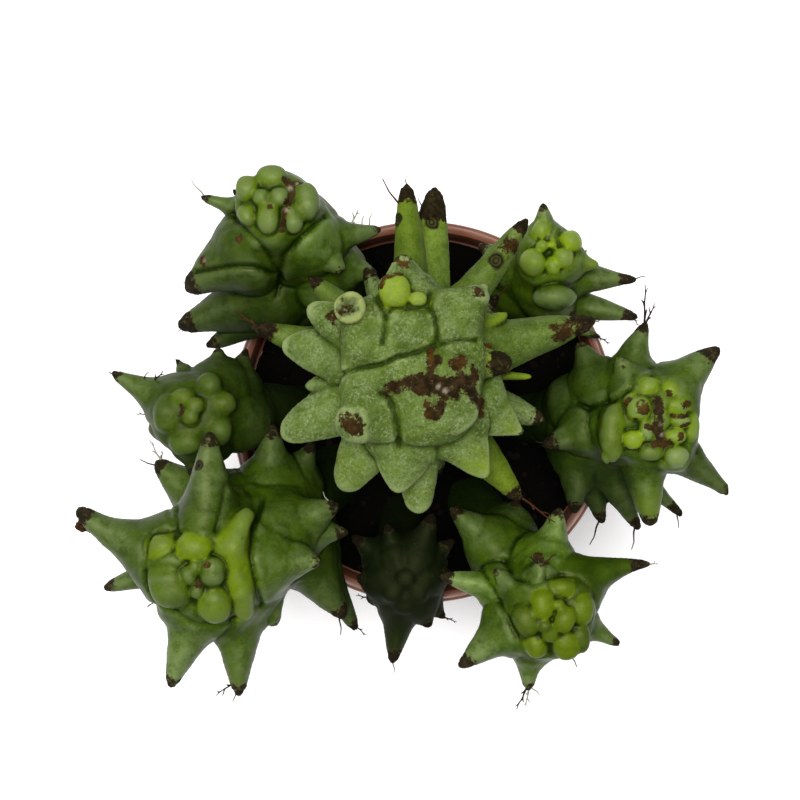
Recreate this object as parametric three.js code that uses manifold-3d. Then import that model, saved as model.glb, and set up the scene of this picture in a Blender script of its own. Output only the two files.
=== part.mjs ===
// A monstrose african milk barrel in a round plastic nursery pot.
// Millimetres, +Z up. The origin is the centre of the pot's underside.
// One tall middle stem and seven lower stems lean outward over the rim. Each stem is one grown
// body: a thick core, horns along it, a crown of knobby buds and a few dry flower stalks.
import * as THREE from "three";
import { mergeVertices } from "three/addons/utils/BufferGeometryUtils.js";
import Module from "manifold-3d";

const wasm = await Module();
wasm.setup();

// Driving dimensions of the pot and its soil.
const RIM_RADIUS = 65;
const POT_HEIGHT = 105;
const BASE_RADIUS = 46;
const WALL = 1.5;
const FLOOR = 2;
const LIP = 3;
const COLLAR_HEIGHT = 12;
const COLLAR_STEP = 3;
const SOIL_LEVEL = 94;
const DRAIN_HOLES = 6;
const DRAIN_RADIUS = 3.5;
const DRAIN_CIRCLE = 35;
const DRAIN_START = 0.43;
const DRILL_TURN = 0.13;
const BEAD = 2;
const BEAD_ROUND = 0.5;
const LIP_SLOPE = 0.6;
const SOIL_EASE = 0.3;
const SOIL_TAPER = 1.2;
const GAP = 0.35;

// How a stem grows.
const FOOT_DEPTH = 16;
const FOOT_SHARE = 0.66;
const HORN_TIP = 0.12;
const HORN_TAPER = 1.2;
const HORN_KEEL = 1.25;
const HORN_SWELL = 1.12;
const STALK_RADIUS = 0.55;
const BUD_SINK = 0.4;
const BUD_THICK = 0.36;

// How finely the solids are faceted.
const POT_SIDES = 40;
const SOIL_SIDES = 30;
const DRAIN_SIDES = 8;
const CORE_SIDES = 8;
const HORN_SIDES = 5;
const BUD_SIDES = 6;
const BUD_RINGS = 4;
const STALK_SIDES = 3;

// The stems. foot: where it leaves the soil, x and y. crown: the middle of its crown, x, y and z.
// girth: its radius under the crown.
// horns: direction in degrees from +X, reach of the tip from the crown seen from above, drop of the
// tip below the crown, depth of its seat on the core below the crown, width at the root, bow and,
// where it isn't the usual one, taper: under 1 is full like a leaf, over 1 is hollow like a thorn.
// buds: x and y from the crown, width across, length, turn in degrees, and lift.
// stalks: number of the horn, share along it, direction, elevation and length.
// flowers: number of the horn, x, y and z from its tip, and radius of the dried flower head.
const STEMS = [
  {
    "node": "main_stem", "foot": [0, 4], "crown": [-4, 14, 189], "girth": 20,
    "horns": [
      [92, 52, 22, 28, 10, 4, 0.7], [83, 53, 34, 44, 15, 2, 0.7], [52, 52, 15, 26, 12, 1, 0.9],
      [14, 53, 22, 28, 16, 3, 1], [96, 29, 7, 14, 19, 2, 1], [151, 32, 14, 18, 14, 2, 0.8],
      [171, 36, 18, 22, 17, 2, 0.9], [-169, 31, 20, 24, 10, 1, 0.8], [-152, 41, 22, 24, 17, 3, 0.7],
      [-120, 38, 18, 22, 16, 2, 0.8], [-97, 34, 11, 16, 22, 3, 0.8], [-88, 40, 20, 26, 15, 2, 0.7],
      [-57, 37, 11, 16, 21, 3, 0.9], [-32, 37, 16, 18, 20, 3, 0.9], [-51, 50, 32, 38, 13, 2, 0.9],
      [166, 48, 30, 38, 14, 3, 1], [139, 40, 34, 42, 13, 2, 1], [1, 25, 9, 12, 12, 2, 0.6],
      [-22, 42, 38, 44, 13, 2, 1], [29, 31, 20, 24, 8, 2, 0.9], [-5, 35, 27, 32, 8, 1, 0.9],
      [115, 34, 54, 58, 14, 2], [40, 34, 50, 54, 14, 2], [-75, 33, 52, 56, 14, 2], [-165, 32, 58, 60, 14, 2],
      [-10, 30, 64, 66, 13, 2], [75, 31, 70, 72, 13, 2], [-125, 30, 70, 72, 13, 2]
    ],
    "buds": [
      [-14, 7, 21, 19, 10, 0], [-1.5, 10, 15, 14, 0, 0.5], [11, 14, 17, 16, 0, 0], [-5.5, 20.5, 8, 10, 0, 1],
      [1.3, 17.5, 5, 5, 0, 1.5], [-13, -6, 17, 16, 0, 0], [-16.5, -15, 12, 14, -20, 1],
      [8, -9, 25, 27, 0, 0.5], [19, 1, 11, 17, 0, 0], [-2, -2, 13, 11, 15, 0]
    ],
    "stalks": [
      [0, 0.8, 124, 15, 14], [0, 0.97, 95, 5, 4], [1, 0.85, 133, 25, 7], [1, 0.85, 80, 25, 8],
      [14, 0.97, -35, -8, 15], [15, 0.97, 144, 5, 9], [3, 0.97, 10, 10, 4], [22, 0.97, 45, 10, 7],
      [24, 0.97, -150, 20, 8]
    ]
  },
  {
    "node": "right_stem", "foot": [38, -2], "crown": [70.5, -1.5, 150], "girth": 13.5,
    "horns": [
      [132, 31, 22, 26, 17, 2], [121, 21, 8, 14, 11, 1], [93, 29, 14, 20, 13, 1], [47, 29, 8, 14, 15, 2],
      [-44, 33, 12, 18, 15, 2], [-89, 33, 16, 18, 13, 3], [-66, 35, 35, 38, 13, 1], [-165, 33, 20, 24, 14, 2],
      [-125, 37, 31, 38, 13, 3], [-108, 36, 37, 42, 12, 2], [-90, 36, 34, 36, 11, 1],
      [160, 29, 28, 34, 15, 2],
      [5, 13, 24, 26, 12, 1], [50, 15, 26, 28, 11, 1], [-22, 14, 28, 31, 10, 1]
    ],
    "buds": [
      [-2, 8.5, 8, 7, 0, 1], [3, 11, 7, 5, 0, 0], [4.5, 7.3, 4.5, 4.5, 0, 1], [-5.5, 5, 6, 5, 0, 1],
      [-5, 2.3, 6, 6, 0, 1], [-6.5, -6, 5.5, 6, 0, 1], [6, 2.3, 6, 7, 0, 0.5], [7, -6, 6, 6, 0, 0.5],
      [11.5, -3, 7, 8, 0, 0], [-12, -4, 8, 17, -8, 0], [5, -12, 10, 8, 0, 0], [0.5, -3, 6, 8, 0, 0],
      [-2, -9, 9, 7, 0, 0]
    ],
    "stalks": [
      [2, 0.97, 92, 15, 14], [2, 0.95, 72, 15, 9], [9, 0.97, -112, 5, 10], [10, 0.97, -98, 0, 9],
      [8, 0.97, -125, 0, 9], [6, 0.97, -80, -10, 6], [7, 0.97, 170, 10, 4], [12, 0.97, 10, 10, 6]
    ]
  },
  {
    "node": "upper_right_stem", "foot": [24, 30], "crown": [39, 49, 140], "girth": 11.2,
    "horns": [
      [97, 16, 3, 12, 12, 1], [-12, 29, 15, 20, 13, 1], [-30, 35, 22, 28, 14, 2], [-66, 20, 18, 20, 15, 2],
      [-50, 31, 30, 34, 10, 1], [-9, 15, 5, 10, 10, 1], [165, 21, 20, 22, 12, 2], [48, 12, 16, 19, 10, 1],
      [85, 12, 18, 20, 10, 1], [15, 15, 19, 21, 10, 1]
    ],
    "buds": [
      [-2.5, 8, 5, 7, 0, 1], [6.4, 4.5, 7.5, 7.5, -30, 1], [0.6, 3.4, 3, 3, 0, 1], [-2.4, 3, 4, 4, 0, 1],
      [-5.2, -1.8, 8, 8, 0, 1], [0.7, -2.7, 4.5, 6, 20, 0.5], [4, -0.4, 7, 6.5, -30, 1],
      [2, -12.5, 13, 8, 0, 0]
    ],
    "stalks": [
      [1, 0.97, 14, 10, 5], [2, 0.97, -50, -10, 4], [4, 0.97, -30, 10, 5], [7, 0.97, 50, -50, 5]
    ]
  },
  {
    "node": "upper_left_stem", "foot": [-23, 32], "crown": [-45, 64, 158], "girth": 12.2,
    "horns": [
      [173, 24, 17, 22, 10, 1], [-140, 37, 24, 24, 23, 2], [-133, 48, 38, 42, 19, 2],
      [-12, 31, 22, 26, 15, 4],
      [-34, 35, 30, 36, 13, 2], [-46, 27, 17, 20, 16, 2], [-68, 34, 29, 36, 14, 2], [-108, 34, 40, 44, 13, 1],
      [-122, 49, 44, 48, 17, 2], [120, 12, 28, 30, 11, 1], [75, 11, 34, 36, 11, 1], [155, 18, 33, 37, 11, 1],
      [35, 11, 33, 36, 11, 1]
    ],
    "buds": [
      [-1.5, 7, 9, 7, 0, 1], [-8.7, 3.5, 7, 8, 0, 0.5], [-3.8, 0.8, 5, 5, 0, 1],
      [1.6, 1.5, 5.5, 5, 0, 1.5], [9, 2, 8, 11, 0, 0.5], [-9, -5, 7, 7, 0, 0.5],
      [-2.2, -4.5, 6, 10, 0, 1], [5.3, -5.5, 7, 10, 10, 0.5]
    ],
    "stalks": [
      [0, 0.97, 130, 15, 7], [3, 0.6, 66, 40, 9], [3, 0.75, 75, 40, 6], [3, 0.85, 75, 35, 6],
      [1, 0.97, 175, 10, 4], [2, 0.97, -140, 0, 5], [10, 0.97, 75, -50, 5], [9, 0.97, 125, -50, 5]
    ]
  },
  {
    "node": "left_stem", "foot": [-38, 0], "crown": [-71.5, -0.5, 150], "girth": 12.5,
    "horns": [
      [153, 28, 10, 16, 14, 2], [73, 21, 18, 22, 14, 2], [55, 25, 22, 24, 10, 1], [-95, 19, 15, 18, 12, 1],
      [-160, 14, 15, 18, 11, 1], [-12, 21, 18, 22, 13, 2], [180, 13, 17, 19, 10, 1], [112, 19, 17, 19, 10, 1]
    ],
    "buds": [
      [0.5, -0.5, 4.5, 4.5, 0, 1.5], [1.8, 3, 5, 4.5, 0, 1.5], [-6.8, 0.5, 8, 11, 0, 0.5],
      [-1.5, -8, 9.5, 8, 15, 0.5], [5.5, 9, 7, 7, -10, 0.5], [10, 3.5, 7, 6.5, 20, 0.5],
      [8.5, -5, 7, 8, -20, 0.5], [-2, 5.2, 6, 5.5, 0, 1]
    ],
    "stalks": [
      [0, 0.62, 42, 35, 10], [0, 0.7, 50, 40, 7], [0, 0.97, 165, 10, 3], [6, 0.97, 180, 15, 7]
    ]
  },
  {
    "node": "lower_left_stem", "foot": [-32, -23], "crown": [-67, -47, 164], "girth": 15.5,
    "horns": [
      [154, 40, 9, 17, 20, 4], [-167, 33, 26, 28, 15, 1], [86, 40, 6, 18, 16, 4], [-106, 36, 15, 20, 18, 3],
      [-76.5, 40, 22, 28, 19, 4], [4, 34, 15, 20, 20, 3], [25, 43, 22, 30, 20, 4], [13, 43, 27, 36, 14, 2],
      [-24, 44, 39, 44, 20, 2], [-41, 27, 25, 30, 15, 1], [-28, 50, 47, 50, 16, 2], [119, 35, 32, 38, 17, 1],
      [66, 46, 32, 42, 17, 2], [50, 48, 38, 48, 12, 2], [-145, 20, 34, 36, 12, 1], [175, 24, 44, 46, 11, 1],
      [-105, 25, 42, 44, 12, 1]
    ],
    "buds": [
      [-1, 7.9, 10.8, 8.2, -10, 2], [-10.3, 8, 9, 7.6, 10, 0.5], [-8, -2.5, 13, 14.5, 15, 1],
      [4.5, -8.3, 9.5, 12, 10, 1], [4.3, 1.3, 7.4, 8.2, 0, 2], [-2.3, 0.3, 4.4, 5.8, 20, 1.5],
      [-0.4, 2, 4, 5, 0, 1.5], [0, -4, 4, 5.5, 0, 1], [14, 16.5, 6, 9, -20, 0],
      [10, 7.5, 9.5, 13, -10, 1], [12.5, -5.5, 7.5, 12, 10, 0.5]
    ],
    "stalks": [
      [11, 0.95, 117, 10, 10], [11, 0.9, 160, 10, 10], [11, 0.97, 95, 0, 5], [4, 0.9, -140, -5, 9],
      [4, 0.92, -105, -5, 7], [4, 0.6, -140, 0, 7], [6, 0.97, 120, 20, 6], [8, 0.97, -85, -5, 8],
      [10, 0.97, -40, 0, 6], [14, 0.97, -145, 10, 7], [16, 0.97, -105, 10, 7]
    ],
    "flowers": [[0, 1.2, -2.6, -0.6, 2.3], [0, -0.2, -4.2, -1.4, 2.1], [0, 2.2, -4.6, -1.6, 1.8]]
  },
  {
    "node": "lower_right_stem", "foot": [19, -34], "crown": [38, -62, 150], "girth": 14,
    "horns": [
      [25.5, 35, 11, 16, 14, 2], [-25, 25, 16, 20, 11, 1], [-102, 25, 16, 20, 13, 1],
      [-148, 31, 12, 18, 16, 3],
      [162, 34, 16, 20, 12, 3], [133, 42, 25, 32, 15, 3], [82, 31, 16, 20, 16, 2], [100, 17, 3, 10, 11, 1],
      [141, 21, 8, 14, 8, 2], [103, 33, 34, 38, 11, 1], [-60, 17, 26, 29, 12, 1], [-95, 21, 28, 30, 11, 1],
      [-5, 17, 27, 29, 11, 1]
    ],
    "buds": [
      [3.3, 8.7, 7.4, 6.4, 0, 1], [-2.3, 4, 6.8, 9, 0, 1], [2.3, 3.9, 3.4, 3.6, 0, 1.5],
      [3.8, -0.4, 5.8, 7.6, -15, 1.5], [-0.2, -4.8, 5, 4.8, 0, 1], [-1.8, -2.2, 4, 4, 0, 1],
      [-7.5, -1, 8, 9, 30, 1], [-4.3, -8.8, 6, 7.4, 20, 0], [4.6, -8.2, 7.8, 9.6, 15, 0],
      [9.5, 2.3, 7, 9, -20, 0.5], [9, -6.6, 6, 8.4, 0, 0]
    ],
    "stalks": [
      [2, 0.97, -115, -5, 9], [2, 0.95, -95, -5, 8], [2, 0.97, -45, 0, 5], [7, 0.9, 50, 40, 8],
      [7, 0.9, 140, 40, 7], [0, 0.97, 10, 0, 4], [10, 0.97, -60, 10, 7], [11, 0.97, -95, 10, 7]
    ]
  },
  {
    "node": "bottom_stem", "foot": [-7, -38], "crown": [-6, -55, 128], "girth": 11,
    "horns": [
      [-99, 27, 11, 14, 12, 1, 0.9], [176, 15, 6, 10, 10, 1], [-62, 16, 7, 11, 10, 1],
      [-45, 18, 12, 14, 9, 1],
      [12, 14, 5, 9, 10, 1], [68, 23, 5, 11, 12, 2, 1], [108, 19, 5, 10, 11, 1], [-150, 13, 11, 13, 10, 1],
      [140, 22, 9, 13, 11, 1], [40, 20, 9, 12, 10, 1]
    ],
    "buds": [
      [0, 2, 6, 6, 0, 1], [-4, -2.5, 6, 6, 0, 1], [4, -2.5, 6, 6, 0, 1], [0, -6.5, 7, 6, 0, 0.5],
      [5, 4, 5, 6, 0, 0.5]
    ],
    "stalks": [
      [7, 0.97, 165, 25, 6], [3, 0.97, -20, 10, 5], [0, 0.97, -85, 5, 5]
    ]
  }
];

const UP = new THREE.Vector3(0, 0, 1);
const NORTH = new THREE.Vector3(0, 1, 0);

// A closed geometry as a solid that can be joined and cut. Triangles that close to a line are left out.
function solid(geometry) {
  const bare = geometry.clone();
  for (const name of ["normal", "uv"]) bare.deleteAttribute(name);
  const merged = mergeVertices(bare, 1e-4);
  const index = merged.index.array;
  const kept = [];
  for (let i = 0; i < index.length; i += 3) {
    const [a, b, c] = index.slice(i, i + 3);
    if (a !== b && b !== c && c !== a) kept.push(a, b, c);
  }
  return new wasm.Manifold(new wasm.Mesh({
    numProp: 3,
    vertProperties: new Float32Array(merged.attributes.position.array),
    triVerts: new Uint32Array(kept)
  }));
}

// The largest body of a joined solid, with no hollow inside, as a geometry again.
function outerSkin(joined) {
  const largest = joined.decompose().reduce((a, b) => (b.volume() > a.volume() ? b : a));
  const mesh = largest.getMesh();
  const geometry = new THREE.BufferGeometry();
  geometry.setAttribute("position", new THREE.BufferAttribute(new Float32Array(mesh.vertProperties), 3));
  geometry.setIndex(new THREE.BufferAttribute(new Uint32Array(mesh.triVerts), 1));
  geometry.computeVertexNormals();
  return geometry;
}

// A turned body from pairs of height and radius, with its axis along Y.
function turned(profile, sides) {
  return new THREE.LatheGeometry(profile.map(([height, radius]) => new THREE.Vector2(radius, height)), sides);
}

// Lays a turned body along a curve. Heights from 0 to 1 are shares of the curve, and what lies
// beyond either end goes straight on in millimetres.
function bend(geometry, curve, across_from, tall = 1) {
  const place = geometry.attributes.position;
  for (let i = 0; i < place.count; i += 1) {
    const share = THREE.MathUtils.clamp(place.getY(i), 0, 1);
    const along = curve.getTangent(share);
    const side = new THREE.Vector3().crossVectors(along, across_from).normalize();
    const top = new THREE.Vector3().crossVectors(side, along);
    const at = curve.getPoint(share)
      .addScaledVector(side, place.getX(i))
      .addScaledVector(top, place.getZ(i) * tall)
      .addScaledVector(along, place.getY(i) - share);
    place.setXYZ(i, at.x, at.y, at.z);
  }
  return geometry;
}

// The unit vector for a direction in degrees from +X and an elevation above the level.
function heading(direction, elevation) {
  const turn = THREE.MathUtils.degToRad(direction);
  const lift = THREE.MathUtils.degToRad(elevation);
  return new THREE.Vector3(Math.cos(turn) * Math.cos(lift), Math.sin(turn) * Math.cos(lift), Math.sin(lift));
}

// The line that a stem grows along, from its root in the soil to the middle of its dome.
function stemLine(stem) {
  const crown = new THREE.Vector3(...stem.crown);
  const middle = crown.clone().addScaledVector(UP, -stem.girth);
  const foot = new THREE.Vector3(...stem.foot, SOIL_LEVEL);
  const lean = new THREE.Vector3().subVectors(middle, foot).normalize();
  const root = foot.addScaledVector(lean, -FOOT_DEPTH);
  return { crown, middle, curve: new THREE.LineCurve3(root, middle) };
}

// The thick core of a stem: narrow in the soil, widest under the crown, with a domed top.
function coreShape(stem, line, spare = 0) {
  const girth = stem.girth + spare;
  const foot = stem.girth * FOOT_SHARE + spare;
  const profile = [
    [-spare, 0], [-spare, foot], [0.3, foot * 1.05], [1, girth], [1 + girth * 0.6, girth * 0.8],
    [1 + girth * 0.98, 0]
  ];
  return bend(turned(profile, CORE_SIDES), line.curve, NORTH);
}

// The line of a horn, from its seat on the stem's line to its tip.
function hornLine(line, [direction, reach, drop, depth, , bow]) {
  const level = line.crown.z - depth;
  const below = line.curve.getPoints(60).filter((point) => point.z <= level);
  const seat = below[below.length - 1];
  const tip = line.crown.clone().addScaledVector(heading(direction, 0), reach);
  tip.z -= drop;
  const control = new THREE.Vector3().lerpVectors(seat, tip, 0.55);
  control.z += bow;
  return new THREE.QuadraticBezierCurve3(seat, control, tip);
}

// A horn: broad and keeled where it leaves the core, drawn out to a blunt tip.
function hornShape(stem, line, horn) {
  const [, , , , width, , taper = HORN_TAPER] = horn;
  const curve = hornLine(line, horn);
  const root = width / 2 * HORN_SWELL;
  const tip = width * HORN_TIP;
  const start = Math.min(0.5, stem.girth * 0.8 / curve.getLength());
  const profile = [[0, 0], [0, root * 0.85]];
  for (const share of width > 12 ? [0, 0.35, 0.7] : [0, 0.5]) {
    profile.push([start + (1 - start) * share, tip + (root - tip) * (1 - share) ** taper]);
  }
  profile.push([0.97, tip], [1, 0]);
  return bend(turned(profile, HORN_SIDES), curve, UP, HORN_KEEL);
}

// A bud: a rounded bump seated on the crown's dome.
function budShape(stem, line, [dx, dy, across, length, turn, lift]) {
  const x = line.crown.x + dx;
  const y = line.crown.y + dy;
  const off = Math.min(Math.hypot(x - line.middle.x, y - line.middle.y), stem.girth * 0.97);
  const dome = line.middle.z + Math.sqrt(stem.girth ** 2 - off ** 2);
  const thick = Math.min(across / 2, length / 2, stem.girth * BUD_THICK);
  const geometry = new THREE.SphereGeometry(1, BUD_SIDES, BUD_RINGS);
  geometry.rotateX(Math.PI / 2);
  geometry.scale(across / 2, length / 2, thick);
  geometry.rotateZ(THREE.MathUtils.degToRad(turn));
  geometry.translate(x, y, dome - thick * BUD_SINK + lift);
  return geometry;
}

// A dry flower stalk that stands out from a horn.
function stalkShape(stem, line, [number, share, direction, elevation, length]) {
  const from = hornLine(line, stem.horns[number]).getPoint(share);
  const end = from.clone().addScaledVector(heading(direction, elevation), length);
  const profile = [[0, 0], [0, STALK_RADIUS], [1, STALK_RADIUS * 0.5], [1, 0]];
  return bend(turned(profile, STALK_SIDES), new THREE.LineCurve3(from, end), UP);
}

// A dried flower head that hangs on the tip of a horn.
function flowerShape(stem, line, [number, dx, dy, dz, radius]) {
  const tip = hornLine(line, stem.horns[number]).getPoint(1);
  const geometry = new THREE.SphereGeometry(radius, BUD_SIDES, BUD_RINGS);
  geometry.rotateX(Math.PI / 2);
  geometry.translate(tip.x + dx, tip.y + dy, tip.z + dz);
  return geometry;
}

// A whole stem, grown as one body.
function stemBody(stem) {
  const line = stemLine(stem);
  const shapes = [
    coreShape(stem, line),
    ...stem.horns.map((horn) => hornShape(stem, line, horn)),
    ...stem.buds.map((bud) => budShape(stem, line, bud)),
    ...stem.stalks.map((stalk) => stalkShape(stem, line, stalk)),
    ...(stem.flowers ?? []).map((flower) => flowerShape(stem, line, flower))
  ];
  return outerSkin(shapes.map(solid).reduce((whole, next) => whole.add(next)));
}

// The radius of the pot's outer wall at a height.
function wallRadius(z) {
  return THREE.MathUtils.lerp(BASE_RADIUS, RIM_RADIUS - LIP - COLLAR_STEP, z / (POT_HEIGHT - COLLAR_HEIGHT));
}

// The pot: a thin tapered wall, a collar with a rolled lip, and a floor with drain holes.
function potBody() {
  const collar = POT_HEIGHT - COLLAR_HEIGHT;
  const inner_lip = RIM_RADIUS - LIP;
  const profile = [
    [0, 0], [0, BASE_RADIUS], [collar, wallRadius(collar)], [collar + 1, inner_lip],
    [POT_HEIGHT - BEAD, RIM_RADIUS], [POT_HEIGHT, RIM_RADIUS - BEAD_ROUND],
    [POT_HEIGHT, inner_lip + LIP_SLOPE],
    [collar, inner_lip - WALL], [collar - 1, wallRadius(collar) - WALL],
    [FLOOR, wallRadius(FLOOR) - WALL], [FLOOR, 0]
  ];
  const shell = turned(profile, POT_SIDES).rotateX(Math.PI / 2);
  const drill = new THREE.CylinderGeometry(DRAIN_RADIUS, DRAIN_RADIUS, FLOOR * 3, DRAIN_SIDES);
  drill.rotateX(Math.PI / 2).rotateZ(DRILL_TURN);
  let body = solid(shell);
  for (let i = 0; i < DRAIN_HOLES; i += 1) {
    const turn = (i + DRAIN_START) / DRAIN_HOLES * 2 * Math.PI;
    const hole = drill.clone();
    hole.translate(DRAIN_CIRCLE * Math.cos(turn), DRAIN_CIRCLE * Math.sin(turn), FLOOR / 2);
    body = body.subtract(solid(hole));
  }
  return outerSkin(body);
}

// How high the loose soil stands above its level at a place.
function soilBumps(x, y) {
  return 0.7 * Math.sin(x / 5.1 + 1) * Math.sin(y / 4.3) + 0.6 * Math.sin((x + y) / 3.3) * Math.cos(y / 7.7);
}

// The soil: it fills the pot, its top is uneven, and each stem stands in a plain hole in it.
function soilBody() {
  const collar = POT_HEIGHT - COLLAR_HEIGHT;
  const edge = RIM_RADIUS - LIP - WALL - GAP;
  const profile = [
    [FLOOR + GAP, 0], [FLOOR + GAP, wallRadius(FLOOR) - WALL - GAP],
    [collar - SOIL_TAPER, wallRadius(collar) - WALL - GAP], [collar, edge - SOIL_EASE]
  ];
  for (const share of [0.995, 0.83, 0.66, 0.5, 0.33, 0.16, 0]) profile.push([SOIL_LEVEL, edge * share]);
  const heap = turned(profile, SOIL_SIDES).rotateX(Math.PI / 2);
  const place = heap.attributes.position;
  for (let i = 0; i < place.count; i += 1) {
    if (place.getZ(i) < SOIL_LEVEL - 0.5) continue;
    place.setZ(i, place.getZ(i) + soilBumps(place.getX(i), place.getY(i)));
  }
  let body = solid(heap);
  for (const stem of STEMS) body = body.subtract(solid(coreShape(stem, stemLine(stem), GAP)));
  return outerSkin(body);
}

const LOOKS = {
  pot: { color: 0x9a5a42, roughness: 0.55, metalness: 0 },
  soil: { color: 0x2a1e16, roughness: 0.95, metalness: 0 },
  middle: { color: 0x7f9a62, roughness: 0.7, metalness: 0 },
  outer: { color: 0x4d7434, roughness: 0.45, metalness: 0 }
};

function piece(name, geometry, look) {
  const mesh = new THREE.Mesh(geometry, new THREE.MeshStandardMaterial(look));
  mesh.name = name;
  return mesh;
}

const plant = new THREE.Group();
plant.add(piece("pot", potBody(), LOOKS.pot));
plant.add(piece("soil", soilBody(), LOOKS.soil));
for (const stem of STEMS) {
  plant.add(piece(stem.node, stemBody(stem), stem.node === "main_stem" ? LOOKS.middle : LOOKS.outer));
}

export default plant;
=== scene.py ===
# %% [markdown]
# A potted, monstrose african milk barrel
# This succulent should grow as ribbed columns, but its growing tips have gone wild. Each stem ends in a
# crowd of knobby buds, and its ribs have broken up into thick horns with dry brown tips. One tall stem,
# dusted with a pale powdery scurf, stands in the middle of seven lower, greener ones that lean out over
# the rim of a plastic nursery pot. The lesson grows each stem from one table of horns and buds.

# %% The frame
import math
import random
import bpy
import numpy as np
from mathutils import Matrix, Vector


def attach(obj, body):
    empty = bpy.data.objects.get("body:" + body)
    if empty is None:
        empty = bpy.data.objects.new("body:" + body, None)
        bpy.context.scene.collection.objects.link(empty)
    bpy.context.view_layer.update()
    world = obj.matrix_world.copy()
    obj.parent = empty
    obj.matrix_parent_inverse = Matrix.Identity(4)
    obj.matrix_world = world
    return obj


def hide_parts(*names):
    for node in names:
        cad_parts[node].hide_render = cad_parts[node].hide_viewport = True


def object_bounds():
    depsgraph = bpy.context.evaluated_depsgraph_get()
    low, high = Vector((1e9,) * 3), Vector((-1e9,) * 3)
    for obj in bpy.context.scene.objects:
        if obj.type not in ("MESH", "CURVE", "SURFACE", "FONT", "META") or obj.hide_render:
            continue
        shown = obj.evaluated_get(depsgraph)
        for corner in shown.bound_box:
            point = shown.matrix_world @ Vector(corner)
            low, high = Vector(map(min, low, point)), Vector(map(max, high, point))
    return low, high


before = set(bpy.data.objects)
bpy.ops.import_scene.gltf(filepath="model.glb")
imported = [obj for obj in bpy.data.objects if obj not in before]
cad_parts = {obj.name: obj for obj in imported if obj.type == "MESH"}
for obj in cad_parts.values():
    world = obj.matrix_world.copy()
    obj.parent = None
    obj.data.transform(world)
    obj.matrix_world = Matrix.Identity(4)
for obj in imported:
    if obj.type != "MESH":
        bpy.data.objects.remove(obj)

cad_box = [list(corner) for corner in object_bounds()]
bpy.ops.object.select_all(action="DESELECT")
MM = 0.001
UP = np.array([0.0, 0.0, 1.0])
print("nodes:", sorted(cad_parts))
print("box in mm:", [[round(v / MM, 1) for v in corner] for corner in cad_box])

# %% [markdown]
# A few moves made again and again
# Every piece is put in the scene, selected, joined or shaped by a modifier at some point. Numbers are
# read from a mesh and written to it all at once, because a skin has tens of thousands of points.


# %% Objects
def placed(name, data):
    """A new object in the scene around a mesh, a light or a camera."""
    made = bpy.data.objects.new(name, data)
    bpy.context.scene.collection.objects.link(made)
    return made


def select_only(*objects):
    """Selects some objects and nothing else, and makes the first one active."""
    bpy.ops.object.select_all(action="DESELECT")
    for made in objects:
        made.select_set(True)
    bpy.context.view_layer.objects.active = objects[0]


def joined(objects, name):
    """Some objects as one."""
    select_only(*objects)
    bpy.ops.object.join()
    objects[0].name = name
    return objects[0]


def modify(made, kind, **settings):
    """Shapes an object by a modifier and applies it."""
    bpy.context.view_layer.objects.active = made
    modifier = made.modifiers.new("shaping", kind)
    for name, value in settings.items():
        setattr(modifier, name, value)
    bpy.ops.object.modifier_apply(modifier=modifier.name)


# %% Points
def read(items, name, kind=np.float32, width=3):
    """A named value of every item of a mesh, one row for each."""
    values = np.empty(len(items) * width, kind)
    items.foreach_get(name, values)
    return values.reshape(-1, width)


def points_of(mesh):
    """A mesh's points in millimetres."""
    return read(mesh.vertices, "co").astype(float) / MM


def put_points(mesh, points):
    """Moves a mesh's points to places in millimetres."""
    mesh.vertices.foreach_set("co", (points * MM).astype(np.float32).ravel())
    mesh.update()


def store(mesh, name, values):
    """Stores a number for every point of a mesh, for its finish to read."""
    mark = mesh.attributes.new(name, "FLOAT", "POINT")
    mark.data.foreach_set("value", np.full(len(mesh.vertices), values, np.float32))


# %% [markdown]
# Camera, lights and floor
# The plant is photographed from straight above, so the camera looks down the pot's axis and the white
# floor is the whole background. A wide soft light overhead gives the broad sheen on the horns. The rest
# of the light is weak and even, so that the space between the stems stays as dark as it is in life.

# %% The camera
CAMERA_PLACE = (-7.8 * MM, 4.1 * MM, 525 * MM)
SENSOR = 36.0
FOCAL_PIXELS = 1239.0
IMAGE_SIZE = 800.0

camera = placed("camera", bpy.data.cameras.new("camera"))
camera.data.sensor_width = SENSOR
camera.data.lens = SENSOR * FOCAL_PIXELS / IMAGE_SIZE
camera.data.clip_start = 0.01
camera.location = CAMERA_PLACE
bpy.context.scene.camera = camera
print("lens in mm:", round(camera.data.lens, 2))

# %% The lights
ROOM_LIGHT = 0.22
LIGHTS = {"overhead": ((-0.08, 0.12, 1.3), 0.6, 22), "fill": ((-0.9, 0.6, 0.9), 0.9, 3)}
AIM = Vector((0, 0, 0.12))

for name, (place, size, power) in LIGHTS.items():
    light = placed(name, bpy.data.lights.new(name, "AREA"))
    light.data.size = size
    light.data.energy = power
    light.location = place
    light.rotation_euler = (AIM - light.location).to_track_quat("-Z", "Y").to_euler()
world = bpy.data.worlds.new("room")
bpy.context.scene.world = world
world.use_nodes = True
world.node_tree.nodes["Background"].inputs["Color"].default_value = (1, 1, 1, 1)
world.node_tree.nodes["Background"].inputs["Strength"].default_value = ROOM_LIGHT
bpy.context.scene.view_settings.view_transform = "Standard"
print("lights:", sorted(LIGHTS))

# %% [markdown]
# Writing a material as sums
# A finish is a few masks and colours mixed together. Wired by hand that is a web of nodes, so a small
# class wraps a socket and gives it plus, minus and times, and one method adds any other node.


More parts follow.
